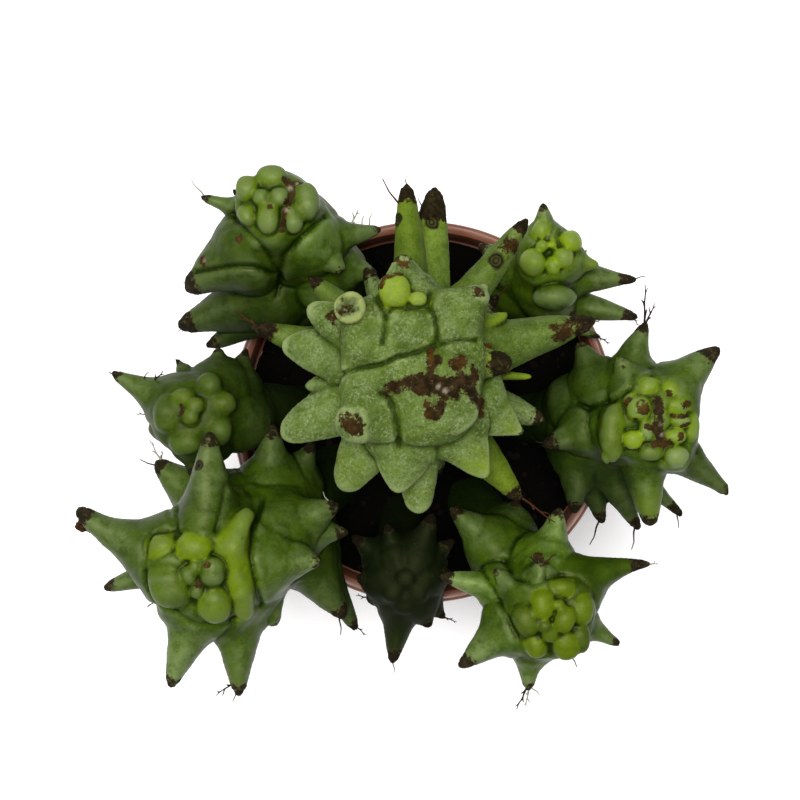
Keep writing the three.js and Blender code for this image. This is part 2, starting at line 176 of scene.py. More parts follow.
# %% Sums on sockets
class Wire:
    """A value in a material that can be added, taken away and multiplied."""

    def __init__(self, finish, socket):
        self.finish = finish
        self.socket = socket

    def math(self, operation, *values):
        return self.finish.node("ShaderNodeMath", {"operation": operation}, values or [self])

    def __add__(self, other):
        return self.math("ADD", self, other)

    __radd__ = __add__

    def __sub__(self, other):
        return self.math("SUBTRACT", self, other)

    def __rsub__(self, other):
        return self.math("SUBTRACT", other, self)

    def __mul__(self, other):
        return self.math("MULTIPLY", self, other)

    __rmul__ = __mul__

    def step(self, low, high):
        """0 below low, 1 above high and smooth between them."""
        settings = {"interpolation_type": "SMOOTHSTEP"}
        return self.finish.node("ShaderNodeMapRange", settings, [self, low, high, 0.0, 1.0])


class Finish:
    """One material, and the few moves that all of them are made with."""

    def __init__(self, name, **constants):
        self.material = bpy.data.materials.new(name)
        self.material.use_nodes = True
        self.tree = self.material.node_tree
        self.shader = self.tree.nodes["Principled BSDF"]
        for socket, value in constants.items():
            self.shader.inputs[socket.replace("_", " ")].default_value = value
        self.place = self.node("ShaderNodeTexCoord", {}, {}, "Object")

    def node(self, kind, settings, inputs, output=0):
        """Adds a node: its settings first, then its sockets' values or links."""
        made = self.tree.nodes.new(kind)
        for name, value in settings.items():
            setattr(made, name, value)
        pairs = inputs.items() if isinstance(inputs, dict) else enumerate(inputs)
        for key, value in pairs:
            if isinstance(value, Wire):
                self.tree.links.new(value.socket, made.inputs[key])
            else:
                made.inputs[key].default_value = value
        return Wire(self, made.outputs[output])

    def mark(self, name):
        """A number that was stored on the surface as it grew."""
        return self.node("ShaderNodeAttribute", {"attribute_name": name}, {}, "Fac")

    def noise(self, size, detail=3.0, roughness=0.55):
        """Smooth noise with spots of about a size in metres."""
        inputs = {"Vector": self.place, "Scale": 1 / size, "Detail": detail, "Roughness": roughness}
        return self.node("ShaderNodeTexNoise", {}, inputs, "Fac")

    def mix(self, share, first, second):
        """A colour between two others."""
        inputs = {0: share, 6: self.color(first), 7: self.color(second)}
        return self.node("ShaderNodeMix", {"data_type": "RGBA"}, inputs, 2)

    def layered(self, colour, *layers):
        """A colour with others laid over it, each with the share that it covers."""
        for share, over in layers:
            colour = self.mix(share, colour, over)
        return colour

    def scaled(self, colour, share):
        """A colour made darker or brighter by a share."""
        return self.node("ShaderNodeVectorMath", {"operation": "SCALE"}, {0: colour, "Scale": share})

    def color(self, value):
        return value if isinstance(value, Wire) else (*value, 1.0)

    def bump(self, height, distance, strength):
        """Leans the surface as if it were raised by a height times a distance in metres."""
        inputs = {"Strength": strength, "Distance": distance, "Height": height}
        self.give(Normal=self.node("ShaderNodeBump", {}, inputs, "Normal"))

    def give(self, **links):
        """Feeds the shader's own sockets."""
        for socket, wire in links.items():
            self.tree.links.new(wire.socket, self.shader.inputs[socket.replace("_", " ")])


# %% The floor
FLOOR_GLOW = 0.14

bpy.ops.mesh.primitive_plane_add(size=6)
floor = bpy.context.active_object
floor.name = "floor"
floor_finish = Finish(
    "pale_floor", Roughness=0.9, Base_Color=(0.97, 0.97, 0.97, 1), Emission_Color=(1, 1, 1, 1),
    Emission_Strength=FLOOR_GLOW)
floor.data.materials.append(floor_finish.material)
print("floor:", floor.name)

# %% [markdown]
# The growth table
# A stem is told by where it leaves the soil, where the middle of its crown is and how thick it is there.
# Each horn is a direction, a reach and a drop from the crown, the depth of its seat on the stem, its
# width, its bow and sometimes its taper. Each bud is a place on the crown, a width, a length, a turn and
# a lift. Each stalk is the number of its horn, a share along it, a direction, a rise and a length. They
# are what the solids in the frame were grown from, in millimetres, so the finer stems keep their form.
# Only some buds are placed anew. The other keys shape and mark the skin: forms, fillets, caps, tints,
# powder and gain go by the number of a horn, and a stem that doesn't name a key has the usual value.
# The gain key makes a horn or the buds brighter or darker as painted light and shade, and a stem's deep
# heights say where its skin is darkened low down as painted shade.

# %% The stems
STEMS = [{
    "node": "main_stem", "foot": [0, 4], "crown": [-4, 14, 189], "girth": 20, "web": 3.0,
    "groove": (0.6, 0.9), "bud_fillet": 0.07, "crease_drop": 13, "dry": (1, 0),
    "horns": [
        [92, 52, 22, 28, 10, 4, 0.7], [83, 53, 34, 44, 15, 2, 0.7], [52, 52, 15, 26, 12, 1, 0.9],
        [14, 53, 22, 28, 16, 3, 1], [96, 29, 7, 14, 19, 2, 1], [151, 32, 14, 18, 14, 2, 0.8],
        [171, 36, 18, 22, 17, 2, 0.9], [-169, 31, 20, 24, 10, 1, 0.8], [-152, 41, 22, 24, 17, 3, 0.7],
        [-120, 38, 18, 22, 16, 2, 0.8], [-97, 34, 11, 16, 22, 3, 0.8], [-88, 40, 20, 26, 15, 2, 0.7],
        [-57, 37, 11, 16, 21, 3, 0.9], [-32, 37, 16, 18, 20, 3, 0.9], [-51, 50, 32, 38, 13, 2, 0.9],
        [166, 48, 30, 38, 14, 3, 1], [139, 40, 34, 42, 13, 2, 1], [1, 25, 9, 12, 12, 2, 0.6],
        [-22, 42, 38, 44, 13, 2, 1], [29, 31, 20, 24, 8, 2, 0.9], [-5, 35, 27, 32, 8, 1, 0.9],
        [115, 34, 54, 58, 14, 2], [40, 34, 50, 54, 14, 2], [-75, 33, 52, 56, 14, 2],
        [-165, 32, 58, 60, 14, 2], [-10, 30, 64, 66, 13, 2], [75, 31, 70, 72, 13, 2],
        [-125, 30, 70, 72, 13, 2],
    ],
    "buds": [[-5.3, 19.5, 8.2, 9.4, 0, 0.8], [1.4, 17.4, 5.6, 4.4, 0, 0.4]],
    "stalks": [
        [0, 0.8, 124, 15, 14], [0, 0.97, 95, 5, 4], [1, 0.85, 133, 25, 7], [1, 0.85, 80, 25, 8],
        [14, 0.97, -35, -8, 15], [15, 0.97, 144, 5, 9], [3, 0.97, 10, 10, 4], [22, 0.97, 45, 10, 7],
        [24, 0.97, -150, 20, 8],
    ],
    "forms": {
        0: {"taper": 0.45, "tip": 0.1}, 1: {"taper": 0.55, "tip": 0.1},
        2: {"taper": 0.62, "tip": 0.1, "plump": 0.9}, 3: {"taper": 0.8}, 4: {"keel": 0.8},
        5: {"keel": 0.7, "taper": 0.55}, 6: {"keel": 0.6, "taper": 0.6}, 7: {"keel": 0.7},
        8: {"keel": 0.6, "taper": 0.5}, 9: {"keel": 0.7, "taper": 0.5, "tip": 0.2},
        10: {"keel": 0.55, "taper": 0.8, "tip": 0.1}, 11: {"keel": 0.7, "taper": 0.6, "tip": 0.2},
        12: {"keel": 0.5, "taper": 0.9, "tip": 0.06}, 13: {"keel": 0.5, "taper": 1.0, "tip": 0.03},
        17: {"keel": 1.0, "tip": 0.32, "plump": 0.78}, 14: {"taper": 0.7}, 18: {"taper": 0.8},
        19: {"plump": 1.7, "taper": 1.1, "tip": 0.04}, 20: {"plump": 0.4, "taper": 0.6},
    },
    "fillets": dict.fromkeys((*range(4, 14), 17, 19, 20), 3.0),
    "plates": [[-1, -1, 41, 44, -5, 0.2, 7], [-8.5, 8, 23, 18, -4, 0.8, 6], [11, 12.5, 15, 16, 8, 1.2, 6]],
    "bulges": [[-16.5, -16.5, 11, 11, 0, 1.8, 5], [8, -9, 20, 20, 0, 0.8, 3]],
    "towers": [
        [[(-15.5, 12.5, -5), (-17.6, 15.2, 0.4)], [4.6, 4.4]],
        [[(13, 13, -6), (17, 18, -3.2), (19.4, 21.2, -4)], [6, 3.8, 1.2]],
    ],
    "creases": [
        [[(-20.5, -3), (-15.5, -1.3), (-9, -0.3), (-4.5, 1.8), (1.5, 3.2), (6.2, 5.2)], 2.4, 0.6, 2.4],
        [[(6.2, 5.2), (11.5, 6.2), (17, 6.4)], 1.3, 0.5, 2.0],
        [[(6.2, 5.2), (6.3, 9), (5.5, 13), (4.2, 15.5), (4.4, 19.5)], 1.9, 0.5, 2.0],
        [[(-8.6, 5.5), (-7.9, 9), (-7.6, 12.5), (-8.8, 15.2), (-10.5, 18.5)], 1.6, 0.6, 2.0],
        [[(-7.3, 13.2), (-6.2, 14.9), (-3.5, 15.1), (-2.2, 14.4), (-1, 15), (3.2, 15.2)], 1.5, 0.45, 1.6],
        [[(-9, -8), (-6.8, -9.6), (-5.2, -13), (-4.6, -17), (-4, -22.5)], 3.0, 0.8, 2.8],
        [[(-21.5, 14), (-20.9, 9), (-20.8, 2), (-20.8, -9), (-21.5, -13)], 1.6, 0.5, 1.8],
        [[(0, -17.8), (3, -17.5), (5.5, -15.5)], 0.5, 0.4, 1.2],
    ],
    "caps": {
        0: 5, 1: 9, 2: 4, 3: 6, 4: 1.5, 5: 0, 6: 0, 7: 0, 8: 0, 9: 0, 10: 0, 11: 0, 12: 0.3, 13: 1.2, 14: 3.5,
        15: 6, 17: 3.1, 19: 0, 20: 0,
    },
    "tints": {0: 0.4, 1: 0.35, 2: 0.25, 7: 0, 12: 0.55, 13: 0.5, 14: 0.5, 17: 0.6, 9: 0.35, 19: 0.6, 20: 0.6},
    "powder": {0: 0.05, 1: 0.25, 2: 0.3, 3: 0.35, 7: 0.5, 14: 0.1, 15: 0.3, 16: 0.2, 19: 0.1, 20: 0.1},
    "gain": {1: 1.45}, "bud_tints": {0: 1.0, 1: 0.7},
    "scars": [
        [-17.5, 15.2, 4.4, "open"], [-21.7, 13.6, 1.6, "cork"], [-19.3, 16.4, 1.4, "cork"],
        [-17.3, -17.2, 2.7, "cork"], [6.6, -6.2, 0.6, "cream"], [8.5, -7.4, 0.7, "cream"],
        [12.3, 0.2, 2.0, "dot"], [3.5, -11, 1.3, "dot"], [4, -14, 1.1, "dot"], [1.5, -7, 1.1, "cork"],
        [20.7, 5, 1.3, "rust"], [17.2, 19.6, 1.4, "cork"], [-3, 27.8, 1.2, "rust"], [18.7, -12, 1.2, "dot"],
    ],
    "eyes": [
        [0, 0.8, -60, 2.0, "ring"], [1, 0.82, 0, 2.2, "ring"], [1, 0.86, -50, 1.6, "ring"],
        [2, 0.72, 0, 2.2, "ring"], [2, 0.83, 20, 2.1, "cork"], [3, 0.84, 10, 2.6, "cork"],
        [3, 0.78, -10, 1.6, "cork"],
    ],
    "seams": [
        [[(-7, -7), (-2, -5.3), (4, -4), (10, -5), (16, -4.5)], 1.4, 0.1],
        [[(1, -6), (5, -7.5), (11, -8)], 1.5, 0.0], [[(4, -3), (6, 1)], 1.2, 0.1],
        [[(4.4, 0), (4.6, 3.6)], 0.8, 0.8], [[(9, -6), (7.5, -11), (6, -14)], 1.0, 0.1],
        [[(12, -5), (16, -8), (17.8, -10.5)], 1.4, 0.0], [[(18.6, -10), (18.8, -14)], 0.9, 0.3],
        [[(-9.2, 21), (-8, 23.6), (-3.5, 24.4)], 0.6, 0.8], [[(16, -1), (16.6, -5)], 0.9, 0.2],
    ],
}, {
    "node": "right_stem", "foot": [38, -2], "crown": [70.5, -1.5, 150], "girth": 13.5, "slim": 0.95,
    "bud_fillet": 0.12, "bud_bloom_and_highlight": 2.2, "quiet": [9, 12], "crown_young": 0.35, "dry": (0, 0),
    "horns": [
        [132, 31, 22, 26, 17, 2], [121, 21, 8, 14, 11, 1], [93, 29, 14, 20, 13, 1], [47, 29, 8, 14, 15, 2],
        [-44, 33, 12, 18, 15, 2], [-89, 33, 16, 18, 13, 3], [-66, 35, 35, 38, 13, 1],
        [-165, 33, 20, 24, 14, 2], [-125, 37, 31, 38, 13, 3], [-108, 36, 37, 42, 12, 2],
        [-90, 36, 34, 36, 11, 1], [160, 29, 28, 34, 15, 2], [5, 13, 24, 26, 12, 1], [50, 15, 26, 28, 11, 1],
        [-22, 14, 28, 31, 10, 1],
    ],
    "buds": [
        [-2.4, 9.4, 5.8, 5.4, 0, 1], [-1.5, 12.6, 9.5, 4, 0, 0.2], [4.1, 8.4, 5.2, 5, 0, 1.2],
        [-8, 6, 4.6, 4, 0, 0.8], [-5.8, 3, 6.8, 6.6, 0, 1.4], [-7.4, -6.4, 5.4, 5.4, 0, 1.2],
        [5.6, 3.4, 6.4, 5.6, 0, 0.8], [5.2, -5.2, 6.2, 4.8, 0, 0.8], [10.5, -2.4, 5, 8, 0, 0],
        [-13.4, -4.6, 7.4, 18, -8, -2.2], [5.8, -11.6, 6.6, 6.6, 0, 0], [-3.4, -3, 5, 7.4, 0, 0.2],
        [-1.5, -10.2, 7, 5, 0, 0], [6.4, -0.8, 6, 4.4, 0, 0.7],
    ],
    "stalks": [
        [2, 0.97, 92, 15, 14], [2, 0.95, 72, 15, 9], [9, 0.97, -112, 5, 10], [10, 0.97, -98, 0, 9],
        [8, 0.97, -125, 0, 9], [6, 0.97, -80, -10, 6], [7, 0.97, 170, 10, 4], [12, 0.97, 10, 10, 6],
    ],
    "forms": {
        2: {"plump": 1.2, "bend": 2}, 3: {"bend": 1, "taper": 0.95}, 5: {"taper": 0.7, "tip": 0.15},
        8: {"plump": 1.25}, 9: {"plump": 1.3}, 10: {"plump": 1.45, "bend": -0.8},
    },
    "plates": [[0, -1, 27, 25, 0, -1.6, 6], [-13, -4.5, 9, 19, -8, -1.0, 5], [5.5, -12.5, 10, 8, 0, -1.5, 5]],
    "creases": [
        [[(-24, 9), (-22, 5), (-19, 2.8), (-12.6, 5.2), (-7.6, 9.2), (-6.5, 13.5)], 1.2, 0.6, 2.2],
        [[(-18.7, 2.8), (-19.4, -2.9), (-17.4, -9.3), (-13, -14.5), (-9, -15.5)], 1.1, 0.6, 2.0],
        [[(14.5, 10), (15.6, 3), (16, -4), (13.5, -11)], 0.7, 0.6, 1.8],
    ],
    "caps": {0: 1.2, 1: 0.6, 2: 2, 3: 5.5, 4: 1.5, 5: 3, 6: 4, 7: 4}, "tints": {5: 0.7, 0: 0.3, 1: 0.3},
    "gain": {"buds": 1.3, 5: 1.15, 4: 0.65, 2: 1.1, 3: 1.1},
    "bud_tints": {
        0: 0.65, 1: 0.4, 2: 0.75, 3: 0.6, 4: 0.7, 5: 1.1, 6: 0.6, 7: 0.7, 8: 0.6, 9: 0.42, 10: 0.45, 11: 0.2,
        12: 0.3, 13: 0.5,
    },
    "scars": [
        [3.2, 8, 0.8, "dot"], [-5, 3.6, 1.6, "rust"], [-9.6, 4.8, 1.1, "rust"], [-7, -0.2, 0.6, "dot"],
        [8.2, 4.2, 1.1, "dot"], [6.6, -5.4, 1.0, "rust"], [1.2, -4.8, 0.6, "cream"],
        [0.6, -1.6, 0.5, "cream"],
    ],
    "eyes": [[1, 0.9, 0, 1.5, "dimple"]],
    "seams": [
        [[(-0.6, 5.6), (0.4, 0.8), (-0.6, -3.2), (1.2, -7)], 1.2, 0.1], [[(-0.6, -8), (3.4, -7.6)], 1.1, 0.5],
        [[(3.8, 0.8), (8.8, 0.9)], 0.5, 0.35], [[(6.8, -2.4), (9.4, -1.6)], 0.4, 0.5],
        [[(-3.8, -2.4), (-1, -3)], 0.6, 0.4],
    ],
}, {
    "node": "upper_right_stem", "foot": [24, 30], "crown": [39, 49, 140], "girth": 11.2, "slim": 0.82,
    "fillet": 4.5, "bud_fillet": 0.08, "bud_power": 1.75, "bud_tall": 1.3, "bud_bloom_and_highlight": 2.0, "quiet": [7],
    "crown_young": 0.2, "painted_depth_shade": (128, 82),
    "horns": [
        [97, 16, 3, 12, 12, 1], [-12, 29, 15, 20, 13, 1], [-30, 35, 22, 28, 14, 2], [-66, 20, 18, 20, 15, 2],
        [-50, 31, 30, 34, 10, 1], [-9, 15, 5, 10, 10, 1], [165, 21, 20, 22, 12, 2], [48, 12, 16, 19, 10, 1],
        [85, 12, 18, 20, 10, 1], [15, 15, 19, 21, 10, 1],
    ],
    "buds": [
        [-2.5, 8, 5, 7, 0, 1], [6.4, 4.5, 7.5, 7.5, -30, 1], [0.6, 3.4, 3, 3, 0, 1], [-2.4, 3, 4, 4, 0, 1],
        [-5.2, -1.8, 8, 8, 0, 1], [0.7, -2.7, 4.5, 6, 20, 0.5], [4, -0.4, 7, 6.5, -30, 1],
        [2, -12.5, 13, 8, 0, 0],
    ],
    "stalks": [[1, 0.97, 14, 10, 5], [2, 0.97, -50, -10, 4], [4, 0.97, -30, 10, 5], [7, 0.97, 50, -50, 5]],
    "forms": {0: {"plump": 0.85}, 9: {"plump": 0.3}, 5: {"plump": 0.95}},
    "plates": [[0, 0, 19, 19, 0, -1.6, 6]], "caps": {0: 0.8, 1: 4, 2: 3.5, 5: 0, 7: 0, 9: 0, 8: 0},
    "tints": {5: 0.7}, "gain": {"buds": 1.3, 0: 1.2},
    "bud_tints": {0: 0.8, 1: 0.9, 2: 0.9, 3: 0.7, 4: 0.75, 5: 0.7, 6: 0.75, 7: 0.15},
}, {
    "node": "upper_left_stem", "foot": [-23, 32], "crown": [-45, 64, 158], "girth": 12.2, "slim": 0.86,
    "web": 3.5, "bud_fillet": 0.19, "bud_bloom_and_highlight": 1.3, "crown_young": 0.3, "crease_drop": 34, "dry": (0, 0.8),
    "horns": [
        [173, 24, 17, 22, 10, 1], [-140, 37, 24, 24, 23, 2], [-133, 48, 38, 42, 19, 2],
        [-12, 31, 22, 26, 15, 4], [-34, 35, 30, 36, 13, 2], [-46, 27, 17, 20, 16, 2],
        [-68, 34, 29, 36, 14, 2], [-108, 34, 40, 44, 13, 1], [-122, 49, 44, 48, 17, 2],
        [120, 12, 28, 30, 11, 1], [75, 11, 34, 36, 11, 1], [155, 18, 33, 37, 11, 1], [35, 11, 33, 36, 11, 1],
    ],
    "buds": [
        [-1.2, 6.7, 8.6, 6.6, 0, 0.4], [-8.2, 3.2, 6.4, 7, 0, 0.2], [-4, 0.3, 4.4, 4.4, 0, 0.6],
        [1.4, 0.3, 5, 4.8, 0, 0.8], [9, -0.8, 7.6, 11, 8, 0], [-8.8, -5.4, 6, 6.2, 0, 0],
        [-2, -5.6, 6.2, 9.6, 0, 0.4], [5.4, -6, 5.6, 9, 14, 0.2],
    ],
    "stalks": [
        [0, 0.97, 130, 15, 7], [3, 0.6, 66, 40, 9], [3, 0.75, 75, 40, 6], [3, 0.85, 75, 35, 6],
        [1, 0.97, 175, 10, 4], [2, 0.97, -140, 0, 5], [10, 0.97, 75, -50, 5], [9, 0.97, 125, -50, 5],
    ],
    "forms": {2: {"plump": 1.5}, 1: {"plump": 1.3, "bend": -1}, 3: {"plump": 0.8, "bend": -1}},
    "fillets": {3: 2.0}, "plates": [[-1, -1.5, 23.5, 19, 0, -0.9, 6], [-2, -9, 13, 12, 0, -2.8, 6]],
    "creases": [
        [[(-14, -3), (-12.6, -5), (-8, -9.5), (-4.5, -13), (-2.5, -16), (0.5, -22)], 1.5, 0.6, 2.2],
        [[(14, -4), (11, -7.5), (6, -12), (2, -15.5), (0, -20), (-2, -27)], 1.5, 0.6, 2.2],
        [[(-2, -20.5), (-7, -19.2), (-15, -18.8), (-22.5, -19.6), (-26.5, -20)], 2.0, 0.8, 3.0],
    ],
    "caps": {0: 1.5, 1: 3, 2: 3, 3: 1.0, 4: 1.5, 5: 0.8, 6: 2},
    "gain": {"buds": 1.1, 1: 0.78, 2: 0.82, 8: 0.85, 4: 1.3, 5: 1.35, 6: 1.4},
    "bud_tints": {0: 0.4, 1: 0.45, 2: 0.25, 3: 0.0, 4: 0.15, 5: 0.45, 6: 0.4, 7: 0.3},
    "scars": [
        [-1.3, -3, 0.7, "dot"], [-23.5, -16.6, 1.7, "dot"], [-23.4, -16.6, 0.7, "cream"],
        [-11.3, -11, 0.8, "rust"], [4.6, 3.2, 0.8, "cream"], [3.6, -3.4, 0.7, "cream"],
        [6.5, 4.6, 0.6, "cream"],
    ],
    "seams": [
        [[(3, 6), (4.9, 3.5), (5, 0.5), (3.8, -1.5), (3, -4), (2.3, -9.5)], 0.8, 0.3],
        [[(4, 4.3), (7.6, 4.8)], 0.6, 0.3],
    ],
}, {
    "node": "left_stem", "foot": [-38, 0], "crown": [-71.5, -0.5, 150], "girth": 12.5, "bud_fillet": 0.26,
    "bud_bloom_and_highlight": 0.4, "painted_depth_shade": (165, 112),
    "horns": [
        [153, 28, 10, 16, 14, 2], [73, 21, 18, 22, 14, 2], [55, 25, 22, 24, 10, 1], [-95, 19, 15, 18, 12, 1],
        [-160, 14, 15, 18, 11, 1], [-12, 21, 18, 22, 13, 2], [180, 13, 17, 19, 10, 1],
        [112, 19, 17, 19, 10, 1],
    ],
    "buds": [
        [0.5, -0.5, 4.5, 4.5, 0, 1.5], [1.8, 3, 5, 4.5, 0, 1.5], [-6.8, 0.5, 8, 11, 0, 0.5],
        [-1.5, -8, 9.5, 8, 15, 0.5], [5.5, 9, 7, 7, -10, 0.5], [10, 3.5, 7, 6.5, 20, 0.5],
        [8.5, -5, 7, 8, -20, 0.5], [-2, 5.2, 6, 5.5, 0, 1],
    ],
    "stalks": [[0, 0.62, 42, 35, 10], [0, 0.7, 50, 40, 7], [0, 0.97, 165, 10, 3], [6, 0.97, 180, 15, 7]],
    "forms": {0: {"plump": 0.9, "bend": 0.9}, 7: {"plump": 0.45}}, "plates": [[0, 0, 24, 23, 0, -0.8, 7]],
    "caps": {0: 1.8, 1: 0.8, 2: 1.5}, "gain": {"all": 0.82, "buds": 0.95, 0: 1.15},
    "bud_tints": {0: 0.4, 1: 0.35, 2: 0.2, 3: 0.2, 4: 0.2, 5: 0.3, 6: 0.2, 7: 0.4},
    "seams": [[[(-2.4, 3), (-2, 1), (-2.6, 0)], 0.5, 0.2]],
}, {
    "node": "lower_left_stem", "foot": [-32, -23], "crown": [-67, -47, 164], "girth": 15.5, "web": 6.0,
    "bud_fillet": 0.11, "crown_young": 0.2, "dry": (0.1, 0.2),
    "horns": [
        [154, 40, 9, 17, 20, 4], [-167, 33, 26, 28, 15, 1], [86, 40, 6, 18, 16, 4], [-106, 36, 15, 20, 18, 3],
        [-76.5, 40, 22, 28, 19, 4], [4, 34, 15, 20, 20, 3], [25, 43, 22, 30, 20, 4], [13, 43, 27, 36, 14, 2],
        [-24, 44, 39, 44, 20, 2], [-41, 27, 25, 30, 15, 1], [-28, 50, 47, 50, 16, 2],
        [119, 35, 32, 38, 17, 1], [66, 46, 32, 42, 17, 2], [50, 48, 38, 48, 12, 2], [-145, 20, 34, 36, 12, 1],
        [175, 24, 44, 46, 11, 1], [-105, 25, 42, 44, 12, 1],
    ],
    "buds": [
        [-1, 7.9, 10.2, 8.2, -10, 2.4], [-10.6, 8, 8.6, 7.4, 10, 2.8], [-8, -2.8, 13, 14, 15, 1],
        [4.5, -8.3, 9.5, 12, 10, 1.2], [4.3, 1.3, 7.4, 8.2, 0, 1.5], [-2.3, 0.3, 4.4, 5.8, 20, 1.5],
        [-0.4, 2.4, 3.6, 4.6, 0, 1.8], [0, -4, 3.8, 5.2, 0, 1],
    ],
    "stalks": [
        [11, 0.95, 117, 10, 10], [11, 0.9, 160, 10, 10], [11, 0.97, 95, 0, 5], [4, 0.9, -140, -5, 9],
        [4, 0.92, -105, -5, 7], [4, 0.6, -140, 0, 7], [6, 0.97, 120, 20, 6], [8, 0.97, -85, -5, 8],
        [10, 0.97, -40, 0, 6], [14, 0.97, -145, 10, 7], [16, 0.97, -105, 10, 7],
    ],
    "flowers": [[0, 1.2, -2.6, -0.6, 2.3], [0, -0.2, -4.2, -1.4, 2.1], [0, 2.2, -4.6, -1.6, 1.8]],
    "forms": {
        2: {"plump": 1.15, "taper": 1.05}, 0: {"bend": 2, "taper": 1.5}, 11: {"plump": 1.3, "bend": 2},
        4: {"plump": 1.05, "bend": 0.3},
    },
    "plates": [[-2, 0, 27, 26, 0, -2.2, 6]],
    "towers": [
        [[(12.6, -12, -8), (12.6, -5, -4.5), (10.6, 2, -3.5), (10.2, 8, -2.5),
          (13.4, 15, -4), (17, 22.5, -6)],
         [3.2, 4.2, 3.6, 4.8, 3.4, 2.2]],
    ],
    "creases": [
        [[(18, 22), (15.6, 12.5), (15.2, 5), (16.6, -2.4), (17.3, -10.4)], 1.4, 0.7, 2.4],
        [[(-7, 19), (-5.9, 12.8), (-13.5, 12), (-15.2, 5), (-15.2, -2), (-13.4, -8.4)], 0.9, 0.55, 1.8],
        [[(7.6, 26), (6.4, 18), (5.2, 12.8)], 1.0, 0.55, 1.8],
        [[(-13.4, -8.4), (-6.5, -11), (-1, -14.6), (6, -16), (11, -13)], 0.8, 0.55, 1.8],
    ],
    "caps": {0: 3, 1: 2.5, 2: 2.2, 3: 2.5, 4: 2.5, 5: 1, 6: 2, 7: 2, 9: 0.3},
    "powder": {0: 1.4, 3: 1.6, 5: 1.2, 4: 0.8}, "gain": {0: 0.9, 3: 1.2, 5: 1.12, 2: 0.88},
    "bud_tints": {0: 0.75, 1: 0.62, 2: 0.3, 3: 0.5, 4: 0.15, 5: 0.25, 6: 0.25, 7: 0.15, "tower": 0.62},
    "scars": [[3.4, 3.5, 0.7, "rust"], [0.6, -2.4, 1.0, "cork"], [42, 4.5, 1.2, "dimple"]],
    "eyes": [[2, 0.8, -35, 1.9, "ring"], [5, 0.95, 0, 1.5, "dimple"]],
}, {
    "node": "lower_right_stem", "foot": [19, -34], "crown": [38, -62, 150], "girth": 14, "slim": 0.96,
    "bud_fillet": 0.12, "bud_bloom_and_highlight": 0.3, "crown_young": 0.15, "painted_depth_shade": (140, 96), "dry": (0.2, 0.5),
    "horns": [
        [25.5, 35, 11, 16, 14, 2], [-25, 25, 16, 20, 11, 1], [-102, 25, 16, 20, 13, 1],
        [-148, 31, 12, 18, 16, 3], [162, 34, 16, 20, 12, 3], [133, 42, 25, 32, 15, 3],
        [82, 31, 16, 20, 16, 2], [100, 17, 3, 10, 11, 1], [141, 21, 8, 14, 8, 2], [103, 33, 34, 38, 11, 1],
        [-60, 17, 26, 29, 12, 1], [-95, 21, 28, 30, 11, 1], [-5, 17, 27, 29, 11, 1],
    ],
    "buds": [
        [3.3, 8.7, 7.4, 6.4, 0, 1], [-2.3, 4, 6.8, 9, 0, 1], [2.3, 3.9, 3.4, 3.6, 0, 1.5],
        [3.8, -0.4, 5.8, 7.6, -15, 1.5], [-0.2, -4.8, 5, 4.8, 0, 1], [-1.8, -2.2, 4, 4, 0, 1],
        [-7.5, -1, 8, 9, 30, 1], [-4.3, -8.8, 6, 7.4, 20, 0], [4.6, -8.2, 7.8, 9.6, 15, 0],
        [9.5, 2.3, 7, 9, -20, 0.5], [9, -6.6, 6, 8.4, 0, 0],
    ],
    "stalks": [
        [2, 0.97, -115, -5, 9], [2, 0.95, -95, -5, 8], [2, 0.97, -45, 0, 5], [7, 0.9, 50, 40, 8],
        [7, 0.9, 140, 40, 7], [0, 0.97, 10, 0, 4], [10, 0.97, -60, 10, 7], [11, 0.97, -95, 10, 7],
    ],
    "forms": {0: {"plump": 1.15, "bend": 3, "taper": 1.3, "tip": 0.07}, 2: {"plump": 1.1, "bend": -0.4}},
    "plates": [[1, -1, 25, 25, 0, -1.6, 6]],
    "creases": [
        [[(-22, 16), (-17, 8), (-13, 0), (-9.6, -7)], 1.1, 0.6, 2.0],
        [[(-13, 15), (-10.3, 11), (-5, 10), (-1.4, 11.4), (-1.3, 16)], 1.0, 0.5, 1.6],
        [[(-1.3, 11.4), (4, 12.4), (8.2, 12.2), (13, 8), (15, 2)], 0.7, 0.5, 1.6],
    ],
    "caps": {0: 6, 1: 1.5, 2: 1.0, 3: 4, 4: 2.8, 5: 3, 6: 2, 7: 0.5, 8: 0.4},
    "powder": {0: 0.05, 2: 1.5, 3: 1.3}, "gain": {"buds": 0.72, 4: 1.6, 3: 1.2, 6: 1.6, 5: 1.1, 0: 0.8},
    "bud_tints": {0: 0.7, 1: 0.8, 2: 0.7, 3: 0.7, 4: 0.55, 5: 0.4, 6: 0.4, 7: 0.8, 8: 0.7, 9: 0.7, 10: 0.3},
    "scars": [[-3.2, 17.5, 1.2, "cork"]],
}, {
    "node": "bottom_stem", "foot": [-7, -38], "crown": [-6, -55, 128], "girth": 11, "web": 2.0,
    "bud_fillet": 0.35, "painted_depth_shade": (175, 135), "bloom_and_highlight": 0.1,
    "horns": [
        [-99, 27, 11, 14, 12, 1, 0.9], [176, 15, 6, 10, 10, 1], [-62, 16, 7, 11, 10, 1],
        [-45, 18, 12, 14, 9, 1], [12, 14, 5, 9, 10, 1], [68, 23, 5, 11, 12, 2, 1], [108, 19, 5, 10, 11, 1],
        [-150, 13, 11, 13, 10, 1], [140, 22, 9, 13, 11, 1], [40, 20, 9, 12, 10, 1],
    ],
    "buds": [
        [0, 2, 6, 6, 0, 1], [-4, -2.5, 6, 6, 0, 1], [4, -2.5, 6, 6, 0, 1], [0, -6.5, 7, 6, 0, 0.5],
        [5, 4, 5, 6, 0, 0.5],
    ],
    "stalks": [[7, 0.97, 165, 25, 6], [3, 0.97, -20, 10, 5], [0, 0.97, -85, 5, 5]], "powder": {0: 0.4},
    "gain": {"all": 0.4}, "bud_tints": dict.fromkeys(range(5), 0.05),
}]
